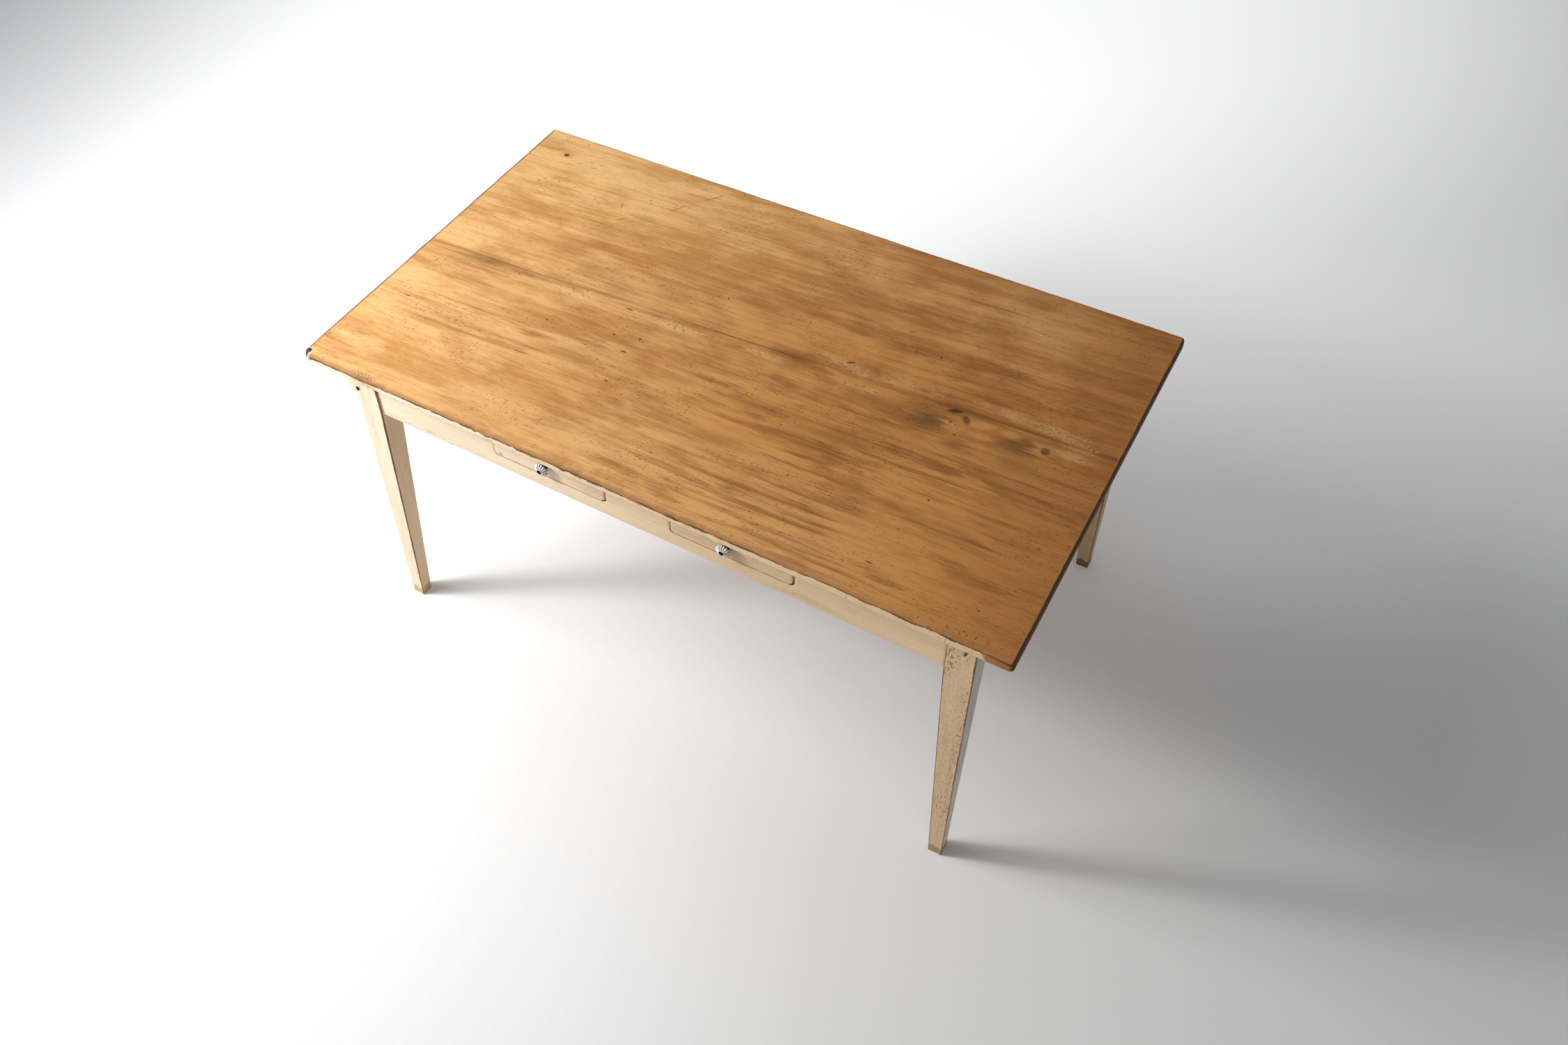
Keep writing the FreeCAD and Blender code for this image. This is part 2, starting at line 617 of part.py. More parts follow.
# The drawers
def drawer(side):
    """A drawer's front, sides, bottom, back and brads."""
    name = f"{SIDE_NAMES[side]}_drawer"
    middle = drawer_middle(side)
    height = (DRAWER_FLOOR, DRAWER_TOP)
    past_height = (f"({DRAWER_FLOOR} - opening_height)", f"({DRAWER_TOP} + opening_height)")
    past_rear = f"({DRAWER_REAR} + drawer_depth)"
    panel_z = (PANEL_BOTTOM, PANEL_TOP)
    panel_half = f"({BOX_INNER_HALF} + groove_depth)"
    groove_x = (f"({middle} - {panel_half})", f"({middle} + {panel_half})")
    groove_y = (f"({FRONT_REAR} - groove_depth)", past_rear)
    groove = board(f"{name}_groove", (groove_x, groove_y, grown(panel_z)))

    brads, brad_holes = [], []
    hole_diameter = f"brad_diameter + 2 * {CLEARANCE}"
    for hand in (LEFT, RIGHT):
        brad_x = across_drawer(side, hand, f"{BOX_HALF} - brad_length", BOX_HALF)[0]
        levels = (f"({PANEL_TOP} + brad_margin)", f"({DRAWER_TOP} - back_drop - brad_margin)")
        starts = [("x", (brad_x, BACK_MIDDLE, level)) for level in levels]
        starts.append(("z", (f"({middle} + {hand} * {BOX_HALF} / 2)", BACK_MIDDLE, PANEL_BOTTOM)))
        for axis, start in starts:
            brads.append(rod("brad", axis, "brad_diameter", "brad_length", start))
            brad_holes.append(rod("brad_hole", axis, hole_diameter, "brad_length", start))

    housings = []
    for hand in (LEFT, RIGHT):
        label = f"{name}_{SIDE_NAMES[hand]}_side"
        across = across_drawer(side, hand, BOX_INNER_HALF, BOX_HALF)
        along = (f"({FRONT_REAR} - housing_depth + {CLEARANCE})", DRAWER_REAR)
        side_board = board(f"{label}_wood", (across, along, height))
        node(cut(label, side_board, [groove] + brad_holes), label)
        housing_y = (f"({FRONT_REAR} - housing_depth)", past_rear)
        housings.append(board(f"{label}_housing", (grown(across), housing_y, past_height)))

    panel_x = (f"({groove_x[0]} + {CLEARANCE})", f"({groove_x[1]} - {CLEARANCE})")
    panel_y = (f"({groove_y[0]} + {CLEARANCE})", DRAWER_REAR)
    bottom = board(f"{name}_panel", (panel_x, panel_y, panel_z))
    node(cut(f"{name}_bottom", bottom, brad_holes), f"{name}_bottom")
    back_half = f"({BOX_INNER_HALF} - {CLEARANCE})"
    back_x = (f"({middle} - {back_half})", f"({middle} + {back_half})")
    back = board(f"{name}_back_wood", (back_x, BACK_Y, (PANEL_TOP, f"({DRAWER_TOP} - back_drop)")))
    node(cut(f"{name}_back", back, brad_holes), f"{name}_back")
    group(f"{name}_brads", brads)

    front = rounded_panel(
        f"{name}_front_wood", "opening_width - 2 * drawer_gap", "opening_height - 2 * drawer_gap",
        "drawer_front_thickness", "opening_corner_radius - drawer_gap", middle, FRONT_REAR, DRAWER_FLOOR)
    knob_x = f"({middle} + knob_shift)"
    knob_z = f"(({DRAWER_FLOOR} + {DRAWER_TOP}) / 2)"
    screw_hole = rod(f"{name}_screw_hole", "y", f"knob_screw_diameter + 2 * {CLEARANCE}",
                     f"knob_screw_bite + {CLEARANCE}", (knob_x, DRAWER_FACE, knob_z))
    node(cut(f"{name}_front", front, housings + [groove, screw_hole]), f"{name}_front")
    node(knob(f"{name}_knob", (knob_x, DRAWER_FACE, knob_z)), f"{name}_knob")
    seat = (knob_x, f"({DRAWER_FACE} - {KNOB_SEAT})", knob_z)
    knob_screw = screw(f"{name}_knob_screw", "y", seat, "knob_screw_head_diameter",
                       "knob_screw_diameter", f"{KNOB_SEAT} + knob_screw_bite")
    node(knob_screw, f"{name}_knob_screw")


def knob(name, foot):
    """A fluted metal knob on a neck, with a recess for its screw, facing the front."""
    body = doc.addObject("PartDesign::Body", name)
    body.Placement = FreeCAD.Placement(FreeCAD.Vector(), FACING_FRONT)
    place(body, foot)
    bore = f"(knob_screw_diameter / 2 + {CLEARANCE})"
    profile = outline(body, f"{name}_profile", "XZ_Plane", (
        (bore, "0"),
        ("knob_neck_diameter / 2", "0"),
        ("knob_neck_diameter / 2", "knob_neck_length"),
        ("knob_rim_diameter / 2", "knob_rim_height - knob_rim_thickness"),
        ("knob_rim_diameter / 2", "knob_rim_height"),
        ("knob_front_diameter / 2", "knob_projection"),
        ("knob_recess_diameter / 2", "knob_projection"),
        ("knob_recess_diameter / 2", KNOB_SEAT),
        (bore, KNOB_SEAT),
    ))
    turned = body.newObject("PartDesign::Revolution", f"{name}_turned")
    turned.Profile = profile
    turned.ReferenceAxis = (profile, ["V_Axis"])
    turned.Angle = 360
    doc.recompute()
    flute = body.newObject("PartDesign::SubtractiveCylinder", f"{name}_flute")
    flute.Placement = FreeCAD.Placement(FreeCAD.Vector(), FreeCAD.Rotation(FreeCAD.Vector(0, -1, 0), 1))
    outer = "(knob_rim_diameter / 2 - flute_rim_depth)"
    inner = "(knob_front_diameter / 2 - flute_front_depth)"
    lean = f"({outer} - {inner})"
    rise = "(knob_projection - knob_rim_height)"
    slant = f"sqrt({lean} ^ 2 + {rise} ^ 2)"
    bind(flute, {
        "Radius": "flute_radius",
        "Height": f"2 * {slant}",
        "Placement.Rotation.Angle": f"atan({lean} / {rise})",
        "Placement.Base.x": f"{outer} + {lean} / 2 + flute_radius * {rise} / {slant}",
        "Placement.Base.z": f"knob_rim_height - {rise} / 2 + flute_radius * {lean} / {slant}",
    })
    doc.recompute()
    flutes = body.newObject("PartDesign::PolarPattern", f"{name}_flutes")
    flutes.Originals = [flute]
    flutes.Axis = (origin_plane(body, "Z_Axis"), [""])
    flutes.Angle = 360
    bind(flutes, {"Occurrences": "flute_count"})
    body.Tip = flutes
    doc.recompute()
    if flutes.Shape.Volume >= turned.Shape.Volume:
        raise RuntimeError(f"{name} has no flutes")
    return body


for side in (LEFT, RIGHT):
    drawer(side)

# Every piece is checked before any is written
doc.recompute()
for thing in doc.Objects:
    if "Invalid" in thing.State or "Error" in thing.State:
        raise RuntimeError(f"{thing.Label} failed: {thing.State}")
for piece in nodes:
    if piece.Shape.isNull() or not piece.Shape.isValid() or not piece.Shape.Solids:
        raise RuntimeError(f"{piece.Label} has no valid solid")
os.makedirs("parts", exist_ok=True)
for piece in nodes:
    piece.Shape.exportStep(f"parts/{piece.Label}.step")
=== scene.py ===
"""An old pine kitchen table with two drawers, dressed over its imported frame."""

import math

import bmesh
import bpy
from mathutils import Matrix, Vector, noise


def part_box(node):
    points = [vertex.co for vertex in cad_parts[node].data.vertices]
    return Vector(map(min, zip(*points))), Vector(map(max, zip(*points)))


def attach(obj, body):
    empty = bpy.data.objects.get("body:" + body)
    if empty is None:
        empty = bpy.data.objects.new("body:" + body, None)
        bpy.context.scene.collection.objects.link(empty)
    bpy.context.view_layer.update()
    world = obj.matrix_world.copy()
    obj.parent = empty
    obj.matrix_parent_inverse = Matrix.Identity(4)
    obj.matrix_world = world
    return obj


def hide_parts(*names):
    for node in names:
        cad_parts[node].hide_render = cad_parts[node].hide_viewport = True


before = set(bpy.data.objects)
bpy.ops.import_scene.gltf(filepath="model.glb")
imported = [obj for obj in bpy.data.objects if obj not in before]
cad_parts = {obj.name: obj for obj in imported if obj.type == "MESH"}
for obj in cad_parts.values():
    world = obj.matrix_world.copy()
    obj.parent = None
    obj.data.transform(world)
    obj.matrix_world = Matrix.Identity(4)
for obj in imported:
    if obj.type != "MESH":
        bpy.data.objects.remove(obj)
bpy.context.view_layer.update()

# ---------------------------------------------------------------- sizes, in metres
FOOT = 0.029              # a leg's side at the floor
ARRIS = 0.007             # how far from a leg's arris the paint is worn
CORNER = 0.009            # radius of the top's corners, seen from above
LIP = 0.0007              # step from a board's outer face to its arrises
HEM = 0.002               # height of a board's lower arris
DRAWER_CORNER = 0.010     # radius of a drawer front's lower corners
DRAWER_GAP = 0.0015       # gap round a drawer front that hasn't shrunk
DRAWER_EASE = 0.0030      # how far a drawer front has shrunk at its right side
DRAWER_SWELL = 0.0007     # how far it has crept down, and the left one to the left
DRAWER_LACK = 0.0014      # how far the right one has shrunk at its left side
PEG = 0.0035              # radius of a peg
SOFT_EDGE = 0.0006        # bevel on the CAD's own pieces
FLOOR_HALF = 8.0          # half of the floor's side
TOP_STEP = 0.005          # distance between two sections of the top,
LEG_STEP = 0.006          # between two of a leg
SLAB_STEP = 0.008         # and between two points of a board's outline
FLUTES = 16               # flutes round a knob
PEG_SIDES = 20            # sides of a peg's round end
BEND = 6                  # parts of a rounded corner of an outline

top_low, top_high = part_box("top_front_board")[0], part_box("top_rear_board")[1]
SEAM_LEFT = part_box("top_rear_board")[0].y
SEAM_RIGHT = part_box("top_front_board")[1].y
APRON_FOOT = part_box("front_apron")[0].z
UNDER = top_low.z


def seam(x):
    """Where the boards meet, as y at x."""
    return SEAM_LEFT + (SEAM_RIGHT - SEAM_LEFT) * (x - top_low.x) / (top_high.x - top_low.x)


def rough(seed, x, y=0.0, z=0.0, octaves=3):
    """Smooth random number, about -1 to 1, at a place given in waves."""
    total = 0.0
    for octave in range(octaves):
        step = 2.0 ** octave
        total += noise.noise((x * step + 7.3 * seed, y * step + 3.1 * octave, z * step + 1.7)) / step
    return total


def ramp(value, start, end):
    """0 before start, 1 after end, and smooth between them."""
    share = min(max((value - start) / (end - start), 0.0), 1.0)
    return share * share * (3.0 - 2.0 * share)


# ---------------------------------------------------------------- meshes
def piece(name, points, faces, material, body, nodes, marks=None, crease=32):
    """Makes a closed mesh that rides on a body and stands for CAD nodes."""
    mesh = bpy.data.meshes.new(name)
    mesh.from_pydata(points, [], faces)
    made = bmesh.new()
    made.from_mesh(mesh)
    bmesh.ops.recalc_face_normals(made, faces=made.faces)
    made.to_mesh(mesh)
    made.free()
    for key, values in (marks or {}).items():
        mesh.attributes.new(key, "FLOAT", "POINT").data.foreach_set("value", values)
    mesh.shade_smooth()
    mesh.set_sharp_from_angle(angle=math.radians(crease))
    mesh.materials.append(material)
    made = bpy.data.objects.new(name, mesh)
    bpy.context.scene.collection.objects.link(made)
    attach(made, body)
    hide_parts(*nodes)


def skin(loops):
    """Faces between neighbouring loops of equal length, with both ends closed."""
    count = len(loops[0])
    faces = [tuple(range(count)), tuple(range((len(loops) - 1) * count, len(loops) * count))]
    for row in range(len(loops) - 1):
        for column in range(count):
            after = (column + 1) % count
            near, far = row * count, (row + 1) * count
            faces.append((near + column, near + after, far + after, far + column))
    return [point for loop in loops for point in loop], faces


def stations():
    """Places along the top, close together round its corners."""
    turn = [CORNER * (1.0 - math.cos(math.radians(angle))) for angle in range(0, 90, 9)]
    span = top_high.x - top_low.x - 2.0 * CORNER
    count = round(span / TOP_STEP)
    run = [CORNER + span * index / count for index in range(count + 1)]
    return turn + run + [top_high.x - top_low.x - along for along in reversed(turn)]


def top_board(name, outer, inward, seed, wave, material):
    """One board of the top: sections along x, worn at its ends and along its outer edge.

    outer is that edge's y, inward is the way from it to the seam, 1 or -1, and wave is how uneven it is."""
    loops, paint, edge = [], [], []
    length = top_high.x - top_low.x
    for along in stations():
        x = top_low.x + along
        near = min(along, length - along)
        corner = max(CORNER - near, 0.0)
        start = CORNER - math.sqrt(CORNER ** 2 - corner ** 2)
        width = abs(seam(x) - outer)
        sunk = 0.0012 * ramp(rough(seed, x * 9.0), 0.1, 0.9)
        bite = ramp(rough(seed + 7, x * 33.0), 0.15, 0.65)
        run = 0.0078 + wave * (0.0042 * rough(seed + 1, x * 11.0) + 0.003 * bite + sunk)
        drop = 0.0066 + 0.005 * ramp(x, 0.45, 0.15)
        drop += wave * (0.0036 * rough(seed + 2, x * 13.0) + 0.003 * bite)
        drop += 0.0035 * ramp(near, 0.05, 0.0)
        run, drop = max(run, 0.003), max(drop, 0.003)
        loop = []
        for share in (0.999, 0.8, 0.6, 0.4, 0.2, 0.03):
            loop.append((start + (width - start) * share, UNDER, 0.0, 0.0))
        loop += [(start + LIP, UNDER + 0.0006, 0.5, 0.4), (start, UNDER + HEM, 1.0, 0.0)]
        shoulder = top_high.z - drop
        for share, painted in ((0.35, 1.0), (0.7, 0.9)):
            loop.append((start, UNDER + HEM + (shoulder - UNDER - HEM) * share, painted, 0.0))
        loop += [(start, shoulder - 0.0005, 0.62, 0.6), (start + LIP, shoulder, 0.4, 1.0)]
        for angle in (15, 30, 45, 60, 75):
            turn = math.radians(angle)
            loop.append((start + LIP + run * (1.0 - math.cos(turn)), shoulder + drop * math.sin(turn),
                         max(0.3 - angle / 110.0, 0.0), 1.0 - angle / 110.0))
        first = start + LIP + run
        loop.append((first, top_high.z, 0.0, 0.15))
        loop.append((first + 0.006, top_high.z, 0.0, 0.0))
        inner = first + 0.012
        for index in range(22):
            loop.append((inner + (width - 0.005 - inner) * index / 21, top_high.z, 0.0, 0.0))
        worn = 0.0004 + 0.0003 * rough(seed + 3, x * 20.0)
        loop += [(width - 0.0016, top_high.z - 0.1 * worn, 0.0, 0.0),
                 (width - 0.0004, top_high.z - worn, 0.0, 0.1)]
        loop += [(width, top_high.z - 0.003, 0.0, 0.5), (width, UNDER + 0.001, 0.0, 0.0)]
        section = []
        for inset, z, painted, bare in loop:
            y = outer + inward * inset
            if z > shoulder - 0.001:
                end = 0.0045 + 0.0015 * rough(seed + 4, y * 15.0)
                fall = max(end - near, 0.0)
                z -= end - math.sqrt(end ** 2 - fall ** 2)
                z -= 0.0006 * (0.5 + 0.5 * rough(seed + 5, x * 4.0, y * 13.0))
                pitted = ramp(rough(seed + 6, x * 21.0, y * 60.0), 0.2, 0.8)
                z -= 0.0004 * pitted * ramp(abs(y - seam(x)), 0.06, 0.03)
            section.append((x, y, z))
            paint.append(painted * ramp(near, 0.008, 0.016))
            edge.append(max(bare, ramp(near, 0.01, 0.002)) if z > UNDER + 0.001 else 0.0)
        loops.append(section)
    points, faces = skin(loops)
    piece(name, points, faces, material, "table", [name], {"paint": paint, "edge": edge})


def leg(node, material, seed, strengths, columns=(), rows=(), sink=None):
    """One leg: square sections up its height, tapered on two faces, with worn arrises.

    strengths say how far the paint is gone along the arrises: first that at the table's corner, and then
    round the leg, beginning along its front or back face. columns and rows add lines to that face, and
    sink(across, z) lowers it there."""
    low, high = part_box(node)
    side = high.x - low.x
    left, front = low.x < 0.0, low.y < 0.0
    count = round(APRON_FOOT / LEG_STEP)
    heights = [0.0, 0.0008, 0.002, 0.004, high.z, *rows]
    heights += [0.01 + (APRON_FOOT - 0.01) * index / count for index in range(count + 1)]
    heights += [APRON_FOOT + LEG_STEP * index for index in range(1, 16)]
    heights = sorted(set(round(z, 5) for z in heights))
    plain = (0.006, 0.014, 0.029, 0.044, 0.052)
    full = sorted(set(plain + tuple(columns)))
    # each corner: its place, the way along the face after it, the outward ways of the faces before
    # and after it, and the lines on the face after it
    corners = (((0, 0), (1, 0), (-1, 0), (0, -1), full), ((1, 0), (0, 1), (0, -1), (1, 0), plain),
               ((1, 1), (-1, 0), (1, 0), (0, 1), plain), ((0, 1), (0, -1), (0, 1), (-1, 0), plain))
    loops, wear = [], []
    for z in heights:
        size = FOOT + (side - FOOT) * min(z / APRON_FOOT, 1.0)
        section = []
        for number, (corner, way, before, after, lines) in enumerate(corners):
            chip = ramp(rough(seed + number, z * 26.0, octaves=4), 0.35, 0.8)
            worn = max(0.001 + 0.0006 * rough(seed + 10 + number, z * 12.0) + 0.0016 * chip, 0.0005)
            worn += 0.0016 * ramp(z, 0.004, 0.0)
            spots = []
            for angle in (0, 30, 60, 90):
                near, far = 1.0 - math.cos(math.radians(angle)), 1.0 - math.sin(math.radians(angle))
                u = corner[0] * size - worn * (before[0] * near + after[0] * far)
                v = corner[1] * size - worn * (before[1] * near + after[1] * far)
                spots.append((u, v, strengths[number] * (1.0 if angle in (30, 60) else 0.9)))
            for line in lines:
                hollow = 0.0003 * (1.0 + rough(seed + 20 + number, z * 7.0, line * 50.0))
                if number == 0 and sink and z > APRON_FOOT:
                    hollow += sink(line, z)
                u = corner[0] * size + way[0] * line * size / side - after[0] * hollow
                v = corner[1] * size + way[1] * line * size / side - after[1] * hollow
                first, last = strengths[number], strengths[(number + 1) % 4]
                bare = max(first * ramp(line, ARRIS, 0.0), last * ramp(side - line, ARRIS, 0.0))
                spots.append((u, v, bare))
            for u, v, arris in spots:
                section.append((low.x + u if left else high.x - u, low.y + v if front else high.y - v, z))
                wear.append(arris)
        loops.append(section)
    points, faces = skin(loops)
    piece(node, points, faces, material, "table", [node], {"wear": wear})


def outline_points(corners):
    """Points along a closed outline of (u, v, radius) corners, each with its inward normal."""
    count = len(corners)
    flat = []
    for index, (u, v, radius) in enumerate(corners):
        here = Vector((u, v))
        before = (Vector(corners[index - 1][:2]) - here).normalized()
        after = (Vector(corners[(index + 1) % count][:2]) - here).normalized()
        turn = before.cross(after)
        inner = (before + after).normalized()
        if turn > 0.0:
            inner = -inner
        # a corner is convex where the outline, which runs anticlockwise, turns left
        half = math.acos(max(-1.0, min(1.0, before.dot(after)))) / 2.0
        if radius == 0.0:
            flat.append((here, inner / math.sin(half)))
            continue
        bulge = 1.0 if turn < 0.0 else -1.0
        centre = here + (before + after).normalized() * radius / math.sin(half)
        first = (here + before * radius / math.tan(half)) - centre
        last = (here + after * radius / math.tan(half)) - centre
        sweep = first.angle_signed(last) * -1.0
        for step in range(BEND + 1):
            spoke = Matrix.Rotation(sweep * step / BEND, 2) @ first
            flat.append((centre + spoke, -spoke.normalized() * bulge))
    points = []
    for index, (place, inner) in enumerate(flat):
        points.append((place, inner))
        gap = flat[(index + 1) % len(flat)][0] - place
        parts = max(int(gap.length / SLAB_STEP), 1)
        across = Vector((-gap.y, gap.x)).normalized()
        for part in range(1, parts):
            points.append((place + gap * part / parts, across))
    return points


def slab(name, corners, to_frame, thickness, material, body, nodes, seed, line=None):
    """A board with an outline, worn along the arrises of its front face.

    to_frame(u, v, depth) gives a point of the table; depth runs from the front face to the back.
    line is a height below which the front arris is bare."""
    rings, wear = [], []
    for depth, inset, arris in ((1.0, 0.001, 0.4), (0.96, 0.0, 0.5), (0.5, 0.0, 0.0), (None, 0.0, 0.5),
                                (None, 0.3, 0.6), (None, 1.0, 0.5), (0.0, 0.006, 0.0)):
        ring = []
        for place, inner in outline_points(corners):
            worn = 0.0011 + 0.0006 * rough(seed, place.x * 14.0, place.y * 14.0)
            worn += 0.0016 * ramp(rough(seed + 1, place.x * 30.0, place.y * 30.0, octaves=4), 0.4, 0.8)
            if depth is None:
                offset = inset * worn
                deep = {0.0: worn, 0.3: 0.3 * worn, 1.0: 0.0}[inset]
            else:
                offset, deep = inset, depth * thickness
            spot = place + inner * offset
            ring.append(to_frame(spot.x, spot.y, deep))
            wear.append(1.35 * min(2.0 * arris, 1.0) if line and place.y < line else arris)
        rings.append(ring)
    points, faces = skin(rings)
    piece(name, points, faces, material, body, nodes, {"wear": wear})


def knob(name, body, node, material):
    """A fluted knob on a neck, which flares from its front ring to its rim, with a recess for its screw."""
    low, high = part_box(node)
    centre = Vector(((low.x + high.x) / 2.0, high.y, (low.z + high.z) / 2.0))
    reach = high.y - low.y
    side = (high.x - low.x) / 2.0
    # (height above the drawer, radius, depth of the flutes), as shares of reach and side
    profile = ((0.0, 0.47, 0.0), (0.08, 0.465, 0.0), (0.3, 0.45, 0.0), (0.36, 0.52, 0.01),
               (0.44, 0.74, 0.04), (0.52, 0.93, 0.1), (0.57, 0.985, 0.15), (0.62, 1.0, 0.17),
               (0.66, 0.985, 0.18), (0.72, 0.9, 0.17), (0.8, 0.77, 0.14), (0.88, 0.63, 0.1),
               (0.94, 0.53, 0.06), (0.98, 0.46, 0.02), (1.0, 0.42, 0.0), (0.995, 0.37, 0.0),
               (0.95, 0.345, 0.0), (0.75, 0.33, 0.0), (0.72, 0.25, 0.0))
    loops, valley = [], []
    around = FLUTES * 10
    for height, radius, flute in profile:
        loop = []
        for index in range(around):
            turn = 2.0 * math.pi * index / around
            lobe = abs(math.sin(turn * FLUTES / 2.0))
            size = side * (radius - flute * (1.0 - lobe) ** 1.5)
            loop.append(centre + Vector((size * math.cos(turn), -height * reach, size * math.sin(turn))))
            valley.append(1.0 - lobe if flute > 0.015 else (0.0 if height > 0.97 else 1.0))
        loops.append(loop)
    points, faces = skin(loops)
    piece(name, points, faces, material, body, [node], {"valley": valley}, crease=60)


def pegs(material):
    """Peg ends, almost flush with the legs' faces and painted over; one has a dark ring."""
    low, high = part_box("apron_pegs")
    points, faces, wear = [], [], []
    for x in (low.x + PEG, high.x - PEG):
        for face, outward in ((low.y, -1.0), (high.y, 1.0)):
            for z in (low.z + PEG, high.z - PEG):
                # the one with the ring is the lower one of the right front leg
                dark = 1.4 if x > 0.0 and outward < 0.0 and z < (low.z + high.z) / 2.0 else 0.0
                loops = []
                for depth, size, mark in ((-0.004, 1.0, dark), (0.0, 1.0, dark), (0.0002, 0.68, dark),
                                          (0.0004, 0.6, 0.0), (0.0005, 0.3, 0.0)):
                    loop = []
                    for index in range(PEG_SIDES):
                        turn = 2.0 * math.pi * index / PEG_SIDES
                        reach = PEG * size * (1.0 + 0.05 * math.sin(3.0 * turn + 40.0 * x))
                        loop.append((x + reach * math.cos(turn), face + outward * depth,
                                     z + reach * math.sin(turn)))
                        wear.append(mark)
                    loops.append(loop)
                spots, sides = skin(loops)
                faces += [tuple(len(points) + spot for spot in side) for side in sides]
                points += spots
    piece("peg_ends", points, faces, material, "table", ["apron_pegs"], {"wear": wear})


# ---------------------------------------------------------------- materials
class Shader:
    """A node material, with a short name for each kind of node that it uses."""

    def __init__(self, name):
        self.material = bpy.data.materials.new(name)
        self.material.use_nodes = True
        self.tree = self.material.node_tree
        self.tree.nodes.clear()
        self.place = self.add("ShaderNodeTexCoord").outputs["Object"]
        parts = self.add("ShaderNodeSeparateXYZ")
        self.tree.links.new(self.place, parts.inputs[0])
        self.x, self.y, self.z = parts.outputs

    def add(self, kind, **settings):
        node = self.tree.nodes.new(kind)
        for key, value in settings.items():
            setattr(node, key, value)
        return node

    def give(self, socket, value):
        if isinstance(value, bpy.types.NodeSocket):
            self.tree.links.new(value, socket)
        elif socket.type == "RGBA":
            socket.default_value = (*value, 1.0)
        else:
            socket.default_value = value

    def math(self, operation, *values):
        node = self.add("ShaderNodeMath", operation=operation)
        for socket, value in zip(node.inputs, values):
            self.give(socket, value)
        return node.outputs[0]

    def fold(self, operation, values):
        total = values[0]
        for value in values[1:]:
            total = self.math(operation, total, value)
        return total

    def times(self, *values):
        return self.fold("MULTIPLY", values)

    def plus(self, *values):
        return self.fold("ADD", values)

    def most(self, *values):
        return self.fold("MAXIMUM", values)

    def less(self, value):
        return self.math("SUBTRACT", 1.0, value)

    def join(self, x, y, z):
        node = self.add("ShaderNodeCombineXYZ")
        for socket, value in zip(node.inputs, (x, y, z)):
            self.give(socket, value)
        return node.outputs[0]

    def scaled(self, place, stretch, shift=(0.0, 0.0, 0.0)):
        node = self.add("ShaderNodeVectorMath", operation="MULTIPLY_ADD")
        self.give(node.inputs[0], place)
        self.give(node.inputs[1], stretch)
        self.give(node.inputs[2], shift)
        return node.outputs[0]

    def noise(self, place, stretch, detail=2.0, roughness=0.5, shift=(0.0, 0.0, 0.0)):
        node = self.add("ShaderNodeTexNoise")
        self.give(node.inputs["Vector"], self.scaled(place, stretch, shift))
        self.give(node.inputs["Scale"], 1.0)
        self.give(node.inputs["Detail"], detail)
        self.give(node.inputs["Roughness"], roughness)
        return node.outputs["Fac"]

    def dots(self, place, stretch, share, size, soft=0.6):
        """Small spots in a given share of the cells of a random pattern."""
        node = self.add("ShaderNodeTexVoronoi")
        self.give(node.inputs["Vector"], self.scaled(place, stretch))
        self.give(node.inputs["Scale"], 1.0)
        parts = self.add("ShaderNodeSeparateColor")
        self.tree.links.new(node.outputs["Color"], parts.inputs[0])
        there = self.times(self.math("LESS_THAN", parts.outputs[0], share),
                           self.math("MULTIPLY_ADD", parts.outputs[2], 0.65, 0.35))
        reach = self.math("MULTIPLY_ADD", parts.outputs[1], 0.7 * size, 0.3 * size)
        near = self.math("DIVIDE", node.outputs["Distance"], reach)
        return self.times(there, self.step(near, 1.0, soft))

    def even(self, value):
        """A noise value, moved to lie about 0."""
        return self.math("SUBTRACT", value, 0.5)

    def step(self, value, start, end):
        """0 before start, 1 after end, and smooth between them."""
        node = self.add("ShaderNodeMapRange", interpolation_type="SMOOTHSTEP")
        for socket, number in zip(node.inputs, (value, start, end, 0.0, 1.0)):
            self.give(socket, number)
        return node.outputs[0]

    def mix(self, share, first, second, kind="MIX"):
        node = self.add("ShaderNodeMix", data_type="RGBA", blend_type=kind)
        self.give(node.inputs[0], share)
        self.give(node.inputs[6], first)
        self.give(node.inputs[7], second)
        return node.outputs[2]

    def mark(self, name):
        return self.add("ShaderNodeAttribute", attribute_name=name).outputs["Fac"]

    def spot(self, place, x, y, wide, deep, soft=0.3, lean=0.0):
        """1 inside an oval on the top, 0 outside it; lean turns its long axis, in degrees."""
        node = self.add("ShaderNodeMapping", vector_type="TEXTURE")
        self.give(node.inputs["Vector"], place)
        self.give(node.inputs["Location"], (x, y, 0.0))
        self.give(node.inputs["Rotation"], (0.0, 0.0, math.radians(lean)))
        self.give(node.inputs["Scale"], (wide, deep, 1000.0))
        length = self.add("ShaderNodeVectorMath", operation="LENGTH")
        self.tree.links.new(node.outputs[0], length.inputs[0])
        return self.step(length.outputs["Value"], 1.0, soft)

    def spots(self, place, soft, rows):
        """The strongest of several ovals: x, y, width, depth, lean and, where it is under 1, a weight."""
        total = 0.0
        for x, y, wide, deep, lean, *weight in rows:
            oval = self.spot(place, x, y, wide, deep, soft, lean)
            total = self.math("MAXIMUM", total, self.times(oval, *weight))
        return total

